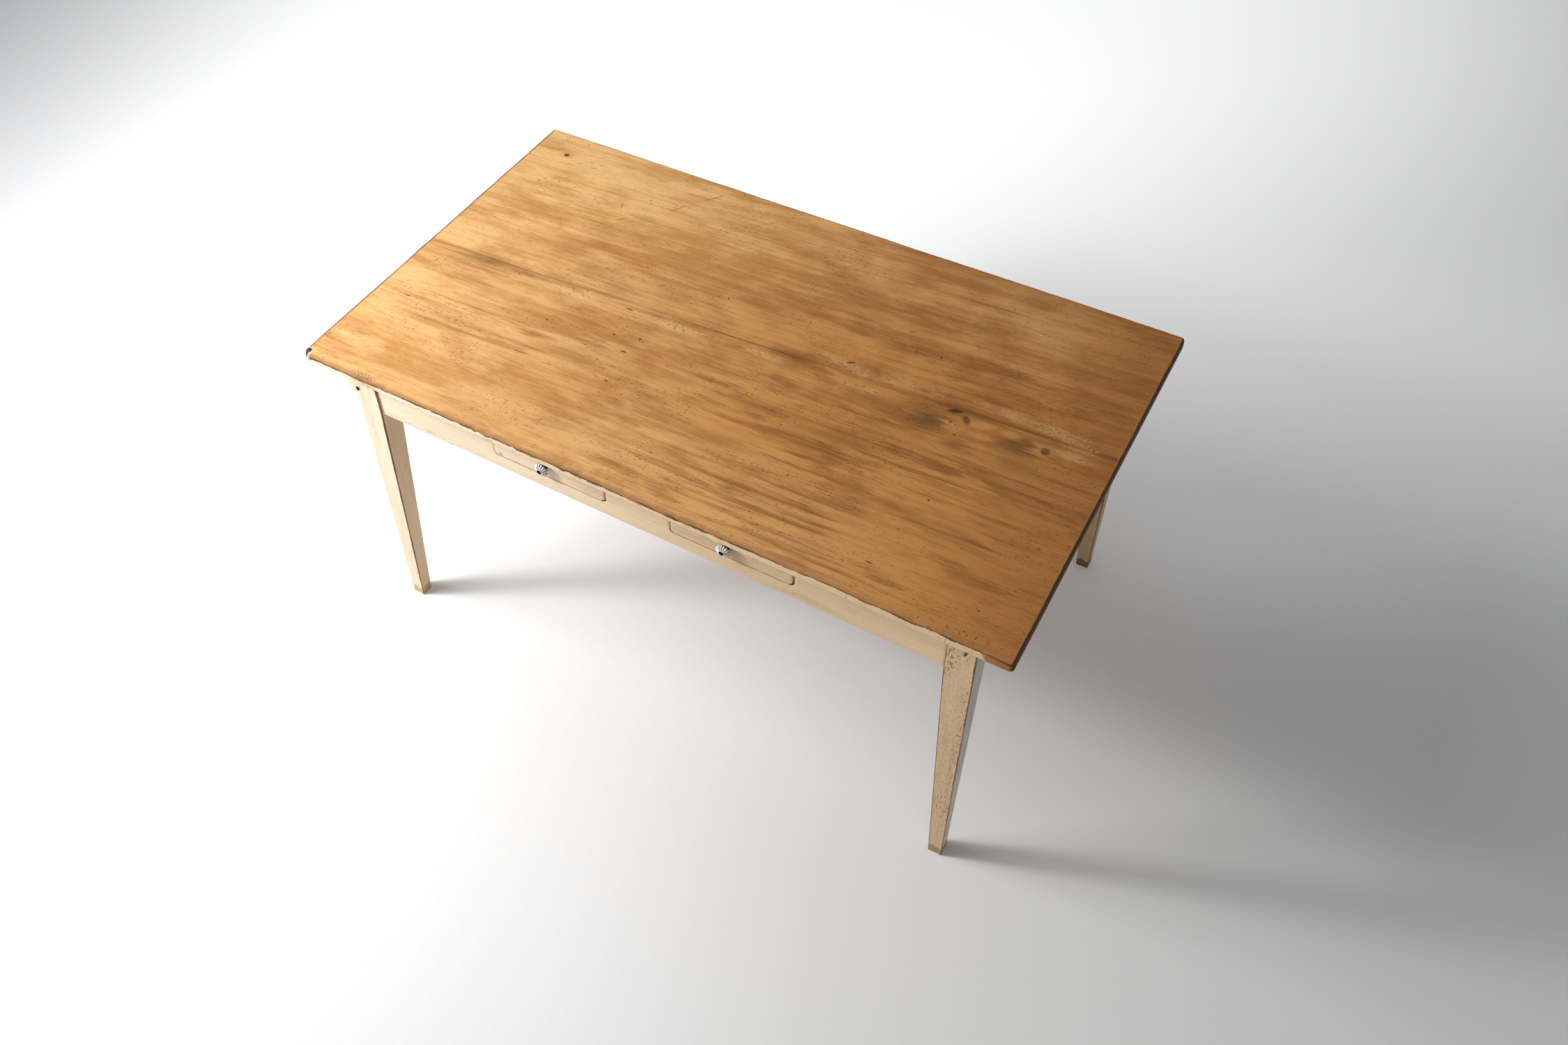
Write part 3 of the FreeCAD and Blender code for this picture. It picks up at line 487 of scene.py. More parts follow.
    def done(self, colour, roughness, height, depth, metallic=0.0, specular=0.5):
        bump = self.add("ShaderNodeBump")
        self.give(bump.inputs["Strength"], 1.0)
        self.give(bump.inputs["Distance"], depth)
        self.give(bump.inputs["Height"], height)
        surface = self.add("ShaderNodeBsdfPrincipled")
        self.give(surface.inputs["Base Color"], colour)
        self.give(surface.inputs["Roughness"], roughness)
        self.give(surface.inputs["Metallic"], metallic)
        self.give(surface.inputs["Specular IOR Level"], specular)
        self.tree.links.new(bump.outputs[0], surface.inputs["Normal"])
        output = self.add("ShaderNodeOutputMaterial")
        self.tree.links.new(surface.outputs[0], output.inputs["Surface"])
        return self.material


# the paint at the table's left and right ends: paler at the left end, nearer the lamps, which is painted
# light
LIT_CREAM, CREAM = (0.9, 0.765, 0.56), (0.755, 0.555, 0.335)


def aged_pine():
    """The waxed top: streaked honey pine with pits, dashes, knots, smears and what is left of the paint."""
    s = Shader("aged_pine")
    rise = (SEAM_RIGHT - SEAM_LEFT) / (top_high.x - top_low.x)
    level = (SEAM_RIGHT + SEAM_LEFT) / 2.0
    off_seam = s.math("SUBTRACT", s.y, s.math("MULTIPLY_ADD", s.x, rise, level))
    near_seam = s.math("ABSOLUTE", off_seam)
    rear = s.step(off_seam, -0.0004, 0.0004)
    bend = s.plus(s.times(s.even(s.noise(s.place, (1.3, 4.0, 1.0))), 0.024),
                  s.times(s.even(s.noise(s.place, (6.0, 16.0, 1.0))), 0.006),
                  s.times(s.x, s.math("MULTIPLY_ADD", rear, -0.03, -0.035)))
    along, across = s.math("MULTIPLY_ADD", rear, 3.7, s.x), s.plus(s.y, bend)
    flow = s.join(along, across, s.z)
    # streaks end in feathered lines along the grain
    lines = s.even(s.noise(flow, (5.0, 230.0, 3.0), 4.0, 0.65))
    feather = s.join(s.math("MULTIPLY_ADD", lines, 0.17, along), s.plus(across, s.times(lines, 0.005)), s.z)
    comb = s.join(s.math("MULTIPLY_ADD", lines, 0.12, s.x), s.plus(s.y, s.times(lines, 0.006)), 0.0)
    tone = s.noise(feather, (1.3, 6.0, 1.0), 4.0, 0.55)
    streak = s.noise(feather, (3.2, 58.0, 1.0), 5.0, 0.62, (0.0, 3.0, 0.0))
    grain = s.noise(flow, (4.0, 140.0, 3.0), 4.0, 0.65)
    mottle = s.noise(s.place, (10.0, 22.0, 1.0), 4.0, 0.6)
    fine = s.noise(flow, (13.0, 330.0, 3.0), 4.0, 0.62)
    hair = s.noise(flow, (34.0, 1100.0, 3.0), 2.0)
    # paler places, and how dark the wood is: more towards the right end, where the wood is darker and redder;
    # the paler, yellower left end is partly painted light
    blond = s.most(
        s.times(s.step(s.y, -0.15, -0.42), s.step(s.x, -0.35, -0.05), s.step(s.x, 0.62, 0.25), 0.3),
        s.times(s.step(s.y, 0.08, 0.34), s.step(s.x, 0.75, 0.5), 0.32))
    ripe = s.math("SUBTRACT", s.step(s.plus(s.x, s.times(s.even(tone), 0.8)), -0.85, 0.35), blond)
    deep = s.mix(ripe, (0.58, 0.268, 0.073), (0.3, 0.098, 0.0165))
    light = s.mix(ripe, (0.86, 0.518, 0.214), (0.58, 0.258, 0.067))
    body = s.plus(s.times(tone, 0.42), s.times(streak, 0.2), s.times(grain, 0.12), s.times(mottle, 0.26))
    colour = s.mix(s.step(body, 0.39, 0.56), deep, light)
    colour = s.mix(s.times(s.step(s.x, 0.5, 0.8), 0.52), colour, deep)
    # clouds and smears are weaker on the rear board
    calm = s.math("MULTIPLY_ADD", rear, -0.4, 1.0)
    cloud = s.times(s.step(s.noise(comb, (4.2, 13.0, 1.0), 5.0, 0.65, (2.0, 7.0, 0.0)), 0.52, 0.66),
                    calm, 0.62)
    colour = s.mix(cloud, colour, s.mix(ripe, (0.46, 0.195, 0.048), (0.205, 0.064, 0.01)))
    colour = s.mix(s.times(s.step(grain, 0.54, 0.72), 0.26), colour, deep)
    colour = s.mix(s.times(s.step(fine, 0.5, 0.74), 0.4), colour, deep)
    colour = s.mix(s.times(s.step(fine, 0.5, 0.28), 0.4), colour, light)
    colour = s.mix(s.times(s.step(hair, 0.52, 0.8), 0.5), colour, (0.23, 0.1, 0.032))
    # brown smears along the grain, with some set where they stand out
    patch = s.noise(feather, (2.6, 8.0, 1.0), 3.0)
    smear = s.times(s.step(s.noise(feather, (3.5, 66.0, 1.0), 5.0, 0.62, (3.0, 0.0, 0.0)), 0.47, 0.66),
                    s.step(patch, 0.44, 0.62), calm)
    stains = s.spots(comb, 0.0, (
        (-0.63, -0.106, 0.06, 0.03, 3), (-0.56, -0.23, 0.1, 0.026, 3), (-0.31, -0.203, 0.12, 0.024, 3),
        (-0.38, -0.152, 0.13, 0.018, 3), (-0.43, 0.135, 0.07, 0.028, 5), (-0.49, 0.092, 0.08, 0.03, 5),
        (0.32, -0.013, 0.11, 0.032, 4), (0.3, -0.142, 0.16, 0.032, 4), (0.09, -0.26, 0.12, 0.028, 4),
        (0.13, -0.141, 0.16, 0.022, 4), (0.3, 0.15, 0.09, 0.02, 5), (0.18, -0.36, 0.04, 0.035, 60),
        (-0.64, -0.4, 0.06, 0.026, 3), (-0.44, -0.024, 0.14, 0.013, 3.6), (-0.22, -0.01, 0.14, 0.01, 3.6)))
    smear = s.most(smear, s.times(stains, 0.75))
    colour = s.mix(s.times(smear, 0.72), colour, s.mix(ripe, (0.43, 0.175, 0.042), (0.185, 0.058, 0.0095)))
    # the seam: a soft brown line, with pale pitted bands beside it
    bands = s.spots(comb, 0.35, (
        (-0.393, -0.028, 0.085, 0.019, 3.6), (-0.151, -0.021, 0.09, 0.015, 3.6),
        (0.06, -0.003, 0.08, 0.013, 3.6), (0.2, 0.054, 0.07, 0.017, 3.6),
        (0.264, 0.049, 0.07, 0.024, 3.6), (0.275, 0.007, 0.055, 0.015, 3.6),
        (0.364, 0.061, 0.11, 0.019, 3.6), (0.464, 0.07, 0.11, 0.019, 3.6),
        (0.55, 0.079, 0.1, 0.021, 3.6), (0.674, 0.081, 0.08, 0.021, 3.6),
        (0.717, 0.064, 0.055, 0.021, 3.6), (0.717, 0.032, 0.045, 0.019, 3.6)))
    band = s.times(bands, s.step(mottle, 0.34, 0.54))
    colour = s.mix(s.times(band, 0.62), colour, s.mix(ripe, (0.94, 0.64, 0.32), (0.62, 0.325, 0.11)))
    line = s.times(s.step(near_seam, 0.0085, 0.001), s.step(s.noise(feather, (4.0, 30.0, 1.0)), 0.3, 0.58))
    colour = s.mix(s.times(line, 0.75), colour, s.mix(ripe, (0.36, 0.155, 0.044), (0.15, 0.056, 0.016)))
    # knots, with the dark figure and the orange wood beside them
    shade = s.spots(comb, 0.0, (
        (0.435, -0.005, 0.085, 0.06, 20), (0.504, -0.045, 0.045, 0.035, 10, 0.6),
        (0.4, 0.012, 0.07, 0.028, 4, 0.5), (0.615, 0.008, 0.075, 0.054, 20, 0.9),
        (0.63, -0.04, 0.08, 0.04, 10, 0.5), (0.695, 0.012, 0.03, 0.02, 10, 0.4),
        (-0.64, -0.036, 0.11, 0.024, 4, 0.75), (-0.631, -0.034, 0.036, 0.028, 4, 0.95),
        (-0.53, -0.028, 0.07, 0.018, 4, 0.6)))
    colour = s.mix(s.times(shade, 0.85), colour, s.mix(ripe, (0.185, 0.088, 0.026), (0.15, 0.06, 0.014)))
    figure = s.spots(comb, 0.2, (
        (0.48, -0.004, 0.03, 0.026, 8), (0.538, 0.03, 0.034, 0.013, 8), (0.545, -0.004, 0.036, 0.014, 8),
        (0.59, 0.03, 0.036, 0.014, 8), (0.665, 0.02, 0.03, 0.026, 8), (-0.708, 0.384, 0.024, 0.014, 8)))
    colour = s.mix(s.times(figure, 0.8), colour, (0.58, 0.265, 0.076))
    wobble = s.even(s.noise(s.place, (420.0, 520.0, 100.0), 2.0))
    torn_place = s.join(s.plus(s.x, s.times(wobble, 0.008)), s.plus(s.y, s.times(wobble, -0.006)), s.z)
    core = s.spots(torn_place, 0.45, (
        (0.499, 0.025, 0.0165, 0.01, -54), (0.474, 0.006, 0.0046, 0.0046, 0),
        (0.471, 0.038, 0.022, 0.008, 20), (0.495, -0.023, 0.0034, 0.003, 0),
        (0.665, 0.0205, 0.013, 0.013, 0), (-0.708, 0.384, 0.009, 0.008, 0)))
    colour = s.mix(s.times(core, 0.88), colour,
                   s.mix(s.step(mottle, 0.4, 0.6), (0.06, 0.024, 0.009), (0.17, 0.06, 0.02)))
    colour = s.mix(s.times(s.spot(s.place, 0.661, 0.022, 0.009, 0.009, 0.1), 0.7), colour,
                   (0.2, 0.075, 0.026))
    red = s.spots(comb, 0.1, ((-0.405, -0.187, 0.034, 0.018, 0), (-0.362, -0.073, 0.03, 0.014, 0, 0.7)))
    colour = s.mix(s.times(red, 0.65), colour, (0.42, 0.135, 0.048))
    # single dents, scratches and worm tracks that stand out
    dents = s.spots(s.place, 0.5, (
        (-0.717, -0.215, 0.01, 0.0022, 5), (-0.402, -0.132, 0.003, 0.003, 0),
        (-0.394, -0.243, 0.021, 0.0012, 4), (-0.249, -0.102, 0.0035, 0.0035, 0),
        (-0.193, -0.088, 0.003, 0.004, 0), (-0.203, -0.137, 0.01, 0.003, 6),
        (-0.263, -0.019, 0.011, 0.0025, 3), (-0.094, 0.115, 0.003, 0.003, 0),
        (-0.187, -0.227, 0.007, 0.0025, 0),
        (0.228, 0.063, 0.012, 0.004, 30), (0.384, 0.166, 0.003, 0.003, 0), (0.262, -0.274, 0.004, 0.002, 60),
        (0.522, -0.201, 0.0035, 0.003, 0), (0.489, -0.388, 0.01, 0.002, 0), (0.703, -0.391, 0.004, 0.002, 20),
        (0.617, -0.456, 0.0044, 0.0012, 84), (0.671, -0.45, 0.0044, 0.0011, 124),
        (0.692, -0.451, 0.004, 0.0011, 130), (0.706, -0.45, 0.0044, 0.0011, 77),
        (0.722, -0.447, 0.0044, 0.0011, 77), (0.699, -0.444, 0.003, 0.0018, 40),
        (-0.3, 0.41, 0.036, 0.001, 50), (-0.356, 0.334, 0.027, 0.001, 57), (-0.478, 0.278, 0.013, 0.001, 108),
        (-0.452, 0.236, 0.016, 0.001, 42), (-0.242, 0.085, 0.011, 0.001, 35), (0.3, 0.21, 0.012, 0.001, 40),
        (0.33, 0.16, 0.01, 0.001, 120)))
    # short ragged dashes along the grain, gathered in places, and pits
    gather = s.noise(s.place, (7.0, 16.0, 1.0), 3.0, 0.6, (1.0, 5.0, 0.0))
    torn = s.join(s.plus(along, s.times(wobble, 0.01)), s.plus(across, s.times(wobble, 0.0022)), s.z)
    dash = s.most(s.times(s.dots(torn, (108.0, 660.0, 1.0), 0.31, 0.42), s.step(gather, 0.45, 0.61)),
                  s.times(s.dots(torn, (66.0, 470.0, 1.0), 0.1, 0.36), s.step(gather, 0.38, 0.56)),
                  s.times(s.dots(torn, (15.0, 330.0, 1.0), 0.1, 0.4, 0.2), 0.55))
    pit = s.most(s.times(s.dots(torn, (330.0, 420.0, 260.0), 0.1, 0.3), s.step(gather, 0.4, 0.6)),
                 s.times(s.dots(torn, (125.0, 260.0, 110.0), 0.7, 0.48), band),
                 s.times(s.dots(torn, (125.0, 150.0, 100.0), 0.6, 0.32),
                         s.spot(s.place, 0.67, -0.44, 0.11, 0.034, 0.3)))
    hole = s.most(dash, pit, dents)
    colour = s.mix(s.times(hole, 0.85), colour, (0.085, 0.04, 0.016))
    # the worn arris, the paint below it and the bare underside
    edge = s.mark("edge")
    scuff = s.noise(s.place, (22.0, 22.0, 240.0), 4.0, 0.65)
    end = s.step(s.math("ABSOLUTE", s.x), top_high.x - 0.006, top_high.x - 0.002)
    colour = s.mix(s.times(s.step(edge, 0.05, 0.5), 0.8), colour,
                   s.mix(scuff, (0.2, 0.085, 0.026), (0.5, 0.235, 0.07)))
    # a dark line where the worn arris meets the paint, and darker ends: end grain, and partly painted shade
    arris_line_and_end_shade = s.most(s.step(s.plus(edge, s.times(s.even(scuff), 1.1)), 0.74, 0.96), s.times(end, 0.75))
    colour = s.mix(s.times(arris_line_and_end_shade, 0.9), colour, (0.075, 0.034, 0.014))
    ragged = s.noise(s.place, (45.0, 45.0, 190.0), 5.0, 0.65)
    scratched = s.times(s.step(s.x, -0.69, -0.66), s.step(s.x, -0.58, -0.62))
    right_bare = s.step(s.x, 0.735, 0.765)
    painted = s.plus(s.mark("paint"), s.times(s.even(ragged), 1.6), s.times(scratched, -0.45),
                     s.times(right_bare, -1.2))
    painted = s.step(painted, 0.46, 0.54)
    soil = s.noise(s.place, (30.0, 30.0, 120.0), 4.0, 0.6, (5.0, 1.0, 0.0))
    # painted light: the paint on the edge is paler towards the table's left end, nearer the lamps
    cream = s.mix(s.step(s.x, -0.7, 0.3), LIT_CREAM, CREAM)
    cream = s.mix(s.step(soil, 0.48, 0.75), cream, (0.58, 0.41, 0.24))
    cream = s.mix(s.times(s.dots(s.place, (210.0, 210.0, 420.0), 0.16, 0.42), 0.85), cream,
                  (0.12, 0.065, 0.03))
    colour = s.mix(painted, colour, cream)
    # the scratched place and the chip at the left end of the front edge
    scored = s.spot(torn_place, -0.64, -0.459, 0.046, 0.0095, 0.3)
    scored = s.times(scored, s.step(s.noise(torn_place, (330.0, 300.0, 300.0), 3.0, 0.7), 0.47, 0.54))
    colour = s.mix(s.times(scored, 0.85), colour, (0.07, 0.04, 0.024))
    colour = s.mix(s.spot(torn_place, -0.7935, -0.4585, 0.014, 0.0115, 0.8, 40), colour, (0.66, 0.58, 0.48))
    colour = s.mix(s.spot(torn_place, -0.793, -0.458, 0.011, 0.0085, 0.8, 40), colour, (0.035, 0.024, 0.017))
    below = s.step(s.z, UNDER + 0.001, UNDER + 0.0003)
    dusty = s.mix(fine, (0.42, 0.28, 0.16), (0.6, 0.44, 0.27))
    colour = s.mix(s.times(below, 0.8), colour, dusty)
    roughness = s.plus(0.45, s.times(fine, 0.18), s.times(s.most(painted, edge), 0.22),
                       s.times(below, 0.3), s.times(hole, 0.2))
    relief = s.times(s.noise(s.place, (120.0, 240.0, 120.0), 3.0), s.math("MULTIPLY_ADD", band, 0.5, 0.08))
    height = s.plus(s.times(fine, 0.2), s.times(streak, 0.12), s.times(painted, 0.35), relief,
                    s.times(hole, -0.9))
    return s.done(colour, roughness, height, 0.0009, specular=0.32)


def old_paint(name, stretch, tint=(1.0, 1.0, 1.0), scuffed=0.0, foot=None, thin=(), hole_shade_and_chips=()):
    """Old cream paint on wood, chipped along the arrises.

    stretch follows the grain, scuffed says how worn it is, and foot is the bare wood's colour near the
    floor. thin and the last list give ovals of the front, seen in x and z: rubbed places and dark ones.
    The dark ones are painted shade in the left leg's hole, and a dark chip on the left drawer."""
    s = Shader(name)
    long = Vector(stretch)
    short = Vector([math.sqrt(part) for part in stretch])
    wear = s.math("POWER", s.mark("wear"), 2.0)
    front = s.join(s.x, s.z, 0.0)
    cloud = s.noise(s.place, long * 14.0, 4.0, 0.6)
    grain = s.noise(s.place, long * 160.0, 4.0, 0.6)
    # painted light: the cream is paler towards the table's left end, nearer the lamps
    cream = s.mix(1.0, s.mix(s.step(s.x, -0.7, 0.3), LIT_CREAM, CREAM), tint, "MULTIPLY")
    # painted shade: in the front half, sides that face right are tan at the left end and grey at the right
    # end, where they are in shade
    facing = s.add("ShaderNodeSeparateXYZ")
    s.tree.links.new(s.add("ShaderNodeNewGeometry").outputs["Normal"], facing.inputs[0])
    aside = s.mix(s.step(s.x, 0.2, 0.6), (0.86, 0.63, 0.4), (0.7, 0.63, 0.57))
    shaded_right_side = s.times(s.step(facing.outputs[0], 0.5, 0.9), s.step(s.y, 0.1, -0.2))
    cream = s.mix(shaded_right_side, cream, aside)
    colour = s.mix(s.step(cloud, 0.68, 0.36), cream, s.mix(1.0, cream, (0.88, 0.86, 0.83), "MULTIPLY"))
    colour = s.mix(s.times(s.step(grain, 0.54, 0.78), 0.3 + 0.25 * scuffed), colour, (0.52, 0.36, 0.21))
    worn_thin = s.spots(front, 0.1, thin)
    brushed = s.plus(s.noise(s.place, long * 42.0, 5.0, 0.65, (4.0, 2.0, 1.0)), s.times(worn_thin, 0.13))
    rubbed = s.step(brushed, 0.58 - 0.08 * scuffed, 0.7)
    colour = s.mix(s.times(rubbed, s.plus(0.22 + 0.4 * scuffed, s.times(worn_thin, 0.4))), colour,
                   (0.585, 0.375, 0.225))
    # scratches along the grain, gathered in places
    gather = s.step(s.noise(s.place, long * 30.0, 3.0, 0.6, (2.0, 0.0, 5.0)),
                    0.6 - 0.12 * scuffed, 0.7 - 0.1 * scuffed)
    scratch = s.step(s.noise(s.place, short * 290.0, 2.0, 0.5, (0.0, 4.0, 2.0)), 0.54, 0.63)
    scratch = s.times(scratch, s.plus(s.times(gather, 0.7), 0.35 * scuffed, s.times(worn_thin, 0.5)),
                      s.less(s.times(shaded_right_side, 0.8)))
    colour = s.mix(s.times(scratch, 0.55 + 0.35 * scuffed), colour, (0.29, 0.162, 0.08))
    # flakes: the paint is gone where wear and two noises add up
    flake = s.noise(s.place, long * 95.0, 5.0, 0.62, (1.0, 6.0, 3.0))
    chip = s.noise(s.place, short * 330.0, 4.0, 0.65, (3.0, 1.0, 7.0))
    gone = s.plus(s.times(wear, 0.34), s.times(flake, 0.55), s.times(chip, 0.45),
                  s.times(gather, 0.05 * scuffed))
    halo = s.step(gone, 0.7, 0.8)
    colour = s.mix(s.times(halo, 0.55), colour, (0.58, 0.37, 0.22))
    bare = s.step(gone, 0.79, 0.82)
    wood = s.mix(s.step(grain, 0.35, 0.65), (0.15, 0.072, 0.034), (0.34, 0.165, 0.08))
    wobble = s.even(s.noise(s.place, (420.0, 420.0, 420.0), 2.0))
    torn = s.join(s.plus(s.x, s.times(wobble, 0.004)), s.y, s.math("MULTIPLY_ADD", wobble, -0.004, s.z))
    speck = s.most(s.dots(torn, (240.0, 240.0, 240.0), 0.025 + 0.03 * scuffed, 0.4),
                   s.times(s.dots(torn, long * 260.0, 0.4, 0.45), gather))
    if foot:
        worn_foot = s.step(s.plus(s.z, s.times(flake, 0.03)), 0.043, 0.036)
        colour = s.mix(worn_foot, colour, s.mix(grain, tuple(0.65 * part for part in foot), foot))
    colour = s.mix(bare, colour, wood)
    colour = s.mix(s.times(speck, 0.85), colour, (0.13, 0.07, 0.035))
    # painted shade: near black ovals in the front half, the shade in the left front leg's hole; and a dark
    # chip on the left drawer
    dark = s.times(s.spots(front, 0.7, hole_shade_and_chips), s.step(s.y, 0.0, -0.2))
    colour = s.mix(dark, colour, (0.03, 0.02, 0.013))
    roughness = s.plus(0.44, s.times(bare, 0.25), s.times(cloud, 0.12))
    height = s.plus(s.times(s.less(bare), 0.5), s.times(grain, 0.22), s.times(cloud, 0.3),
                    s.times(speck, -0.5), s.times(scratch, -0.3))
    return s.done(colour, roughness, height, 0.0006, specular=0.4)


def bare_wood(name, stretch, dark=(0.36, 0.215, 0.105), light=(0.6, 0.42, 0.235)):
    """Unpainted old pine inside the table; stretch follows the grain."""
    s = Shader(name)
    long = Vector(stretch)
    broad = s.noise(s.place, long * 34.0, 4.0, 0.6)
    fine = s.noise(s.place, long * 330.0, 3.0, 0.6)
    colour = s.mix(s.step(broad, 0.34, 0.68), dark, light)
    colour = s.mix(s.times(s.step(fine, 0.52, 0.75), 0.45), colour, tuple(0.55 * part for part in dark))
    soil = s.noise(s.place, (9.0, 9.0, 9.0), 4.0, 0.6)
    colour = s.mix(s.times(s.step(soil, 0.5, 0.75), 0.4), colour, (0.2, 0.125, 0.07))
    speck = s.dots(s.place, long * 210.0, 0.06, 0.35)
    colour = s.mix(s.times(speck, 0.7), colour, (0.1, 0.055, 0.03))
    height = s.plus(s.times(fine, 0.5), s.times(broad, 0.4), s.times(speck, -0.4))
    return s.done(colour, s.plus(0.58, s.times(fine, 0.2)), height, 0.0005, specular=0.35)


def knob_metal():
    """Worn pale metal, dark in its flutes and in its recess."""
    s = Shader("knob_metal")
    valley = s.mark("valley")
    tarnish = s.noise(s.place, (420.0, 420.0, 420.0), 4.0, 0.6)
    deep = s.step(s.plus(valley, s.times(s.even(tarnish), 0.4)), 0.4, 0.78)
    colour = s.mix(s.step(tarnish, 0.42, 0.7), (0.8, 0.79, 0.76), (0.56, 0.545, 0.51))
    colour = s.mix(deep, colour, (0.022, 0.019, 0.016))
    roughness = s.plus(0.3, s.times(tarnish, 0.2), s.times(deep, 0.25))
    return s.done(colour, roughness, s.plus(tarnish, s.times(deep, -0.6)), 0.0003,
                  s.math("MULTIPLY_ADD", deep, -0.4, 0.45))


def dark_steel():
    """Blackened screws and brads."""
    s = Shader("dark_steel")
    rust = s.noise(s.place, (500.0, 500.0, 500.0), 4.0, 0.65)
    colour = s.mix(s.step(rust, 0.5, 0.72), (0.045, 0.042, 0.04), (0.16, 0.085, 0.045))
    return s.done(colour, s.math("MULTIPLY_ADD", rust, 0.3, 0.4), rust, 0.0002, 0.6)


def pale_floor():
    """A pale matt floor, with a glow behind and beside the table that lights nothing else."""
    s = Shader("pale_floor")
    grit = s.noise(s.place, (60.0, 60.0, 60.0), 3.0)
    depth = s.plus(s.times(s.x, -0.54), s.times(s.y, 0.84))
    aside = s.plus(s.times(s.x, 0.84), s.times(s.y, 0.54))
    colour = s.mix(grit, (0.85, 0.855, 0.865), (0.89, 0.89, 0.89))
    # painted shade: the floor is greyer far out towards the lamps, and at the front right
    colour = s.mix(s.step(aside, -1.3, -2.5), colour, (0.73, 0.733, 0.74))
    colour = s.mix(s.times(s.step(depth, -0.2, -0.8), s.step(aside, -0.5, 0.2)), colour, (0.8, 0.8, 0.795))
    material = s.done(colour, 0.85, grit, 0.0002, specular=0.1)
    seen = s.add("ShaderNodeLightPath")
    rays = s.most(seen.outputs["Is Camera Ray"], seen.outputs["Is Glossy Ray"],
                  seen.outputs["Is Transmission Ray"])
    glow = s.add("ShaderNodeEmission")
    behind = s.times(s.step(depth, -0.5, 2.2), s.step(aside, -3.6, -0.6),
                     s.step(s.math("MULTIPLY_ADD", depth, -0.6, aside), 3.4, -0.4), 0.55)
    beside = s.times(s.step(depth, -0.45, 0.1), s.step(depth, 1.3, 0.4), s.step(aside, 0.4, 1.2), 0.08)
    s.give(glow.inputs["Strength"], s.times(rays, s.plus(behind, beside)))
    total = s.add("ShaderNodeAddShader")
    output = s.tree.nodes["Material Output"]
    s.tree.links.new(output.inputs["Surface"].links[0].from_socket, total.inputs[0])
    s.tree.links.new(glow.outputs[0], total.inputs[1])
    s.tree.links.new(total.outputs[0], output.inputs["Surface"])
    return material


UPRIGHT, ALONG_X, ALONG_Y = (1.0, 1.0, 0.13), (0.13, 1.0, 1.0), (1.0, 0.13, 1.0)
pine = aged_pine()
leg_paint = old_paint("paint_upright", UPRIGHT, foot=(0.72, 0.48, 0.24),
                      hole_shade_and_chips=((-0.679, 0.705, 0.0065, 0.008, 0),))
scuffed_paint = old_paint("paint_upright_scuffed", UPRIGHT, (0.99, 0.97, 0.95), 1.0, (0.46, 0.3, 0.16),
                          thin=((0.724, 0.36, 0.014, 0.36, 0), (0.7, 0.42, 0.03, 0.04, 0, 0.6)))
# the back right leg: its darker tint is painted shade under the top's right end; its paint is also more
# scuffed, with a darker foot
worn_shaded_paint = old_paint("paint_upright_worn_shaded", UPRIGHT, (0.84, 0.8, 0.74), 0.3, (0.22, 0.13, 0.06))
apron_paint = old_paint("paint_along", ALONG_X,
                        thin=((0.34, 0.668, 0.24, 0.018, 0), (0.5, 0.69, 0.12, 0.02, 0, 0.6)))
side_paint = old_paint("paint_across", ALONG_Y)
left_drawer_paint = old_paint("paint_left_drawer", ALONG_X, (1.0, 0.98, 0.98), 0.1,
                              thin=((-0.08, 0.71, 0.08, 0.03, 0, 0.6),),
                              hole_shade_and_chips=((-0.305, 0.695, 0.007, 0.0024, -18, 0.75),))
right_drawer_paint = old_paint("paint_right_drawer", ALONG_X, (0.98, 0.92, 0.91), 0.35,
                               thin=((0.23, 0.715, 0.1, 0.05, 0),))
metal, steel = knob_metal(), dark_steel()
wood_x, wood_y = bare_wood("bare_wood_x", ALONG_X), bare_wood("bare_wood_y", ALONG_Y)

# ---------------------------------------------------------------- the table
top_board("top_front_board", top_low.y, 1.0, 1, 1.0, pine)
top_board("top_rear_board", top_high.y, -1.0, 20, 0.35, pine)


def left_joint(across, z):
    """The left front leg's face: the tenon's outline, and a chipped hole at the outer corner."""
    groove = 0.0
    if 0.6615 < z < 0.7305 and min(abs(across - 0.014), abs(across - 0.036)) < 0.0002:
        groove = 0.0007
    if 0.0138 < across < 0.0362 and min(abs(z - 0.662), abs(z - 0.73)) < 0.0002:
        groove = 0.0007
    return max(groove, 0.007 if across < 0.0105 and 0.6985 < z < 0.7115 else 0.0)


def right_joint(across, z):
    """The right front leg's face: a wedge-shaped hole, a let-in patch beside it and a notch below that."""
    if 0.7085 < z < 0.7295 and 0.015 < across < 0.024 and across > 0.0245 - 0.0105 * (z - 0.706) / 0.02:
        return 0.009
    if 0.0255 < across < 0.0485 and 0.711 < z < 0.732:
        return -0.0003
    if 0.024 < across < 0.05 and 0.709 < z < 0.734:
        return 0.0012
    if 0.025 < across < 0.04 and 0.693 < z < 0.709:
        return 0.0012 * (0.71 - z) / 0.017
    return 0.0


lines = (0.0136, 0.014, 0.0144, 0.0356, 0.036, 0.0364)
levels = (0.6614, 0.662, 0.6626, 0.7294, 0.73, 0.7306)
leg("front_left_leg", leg_paint, 3, (0.5, 1.7, 0.9, 0.6), lines + (0.01, 0.0108),
    levels + (0.698, 0.6988, 0.7112, 0.712), left_joint)
right_lines = [0.0145 + 0.0014 * index for index in range(8)] + [0.0262, 0.0404, 0.0478, 0.0486, 0.0502]
right_levels = [0.6922, 0.6934, 0.7082, 0.7094] + [0.7108 + 0.002 * index for index in range(12)]
leg("front_right_leg", scuffed_paint, 31, (1.25, 1.45, 0.8, 0.9), right_lines, right_levels, right_joint)
leg("back_left_leg", leg_paint, 52, (0.8, 0.9, 0.7, 0.7), lines, levels, left_joint)
leg("back_right_leg", worn_shaded_paint, 75, (0.9, 0.9, 1.1, 1.65), lines, levels, left_joint)
pegs(leg_paint)


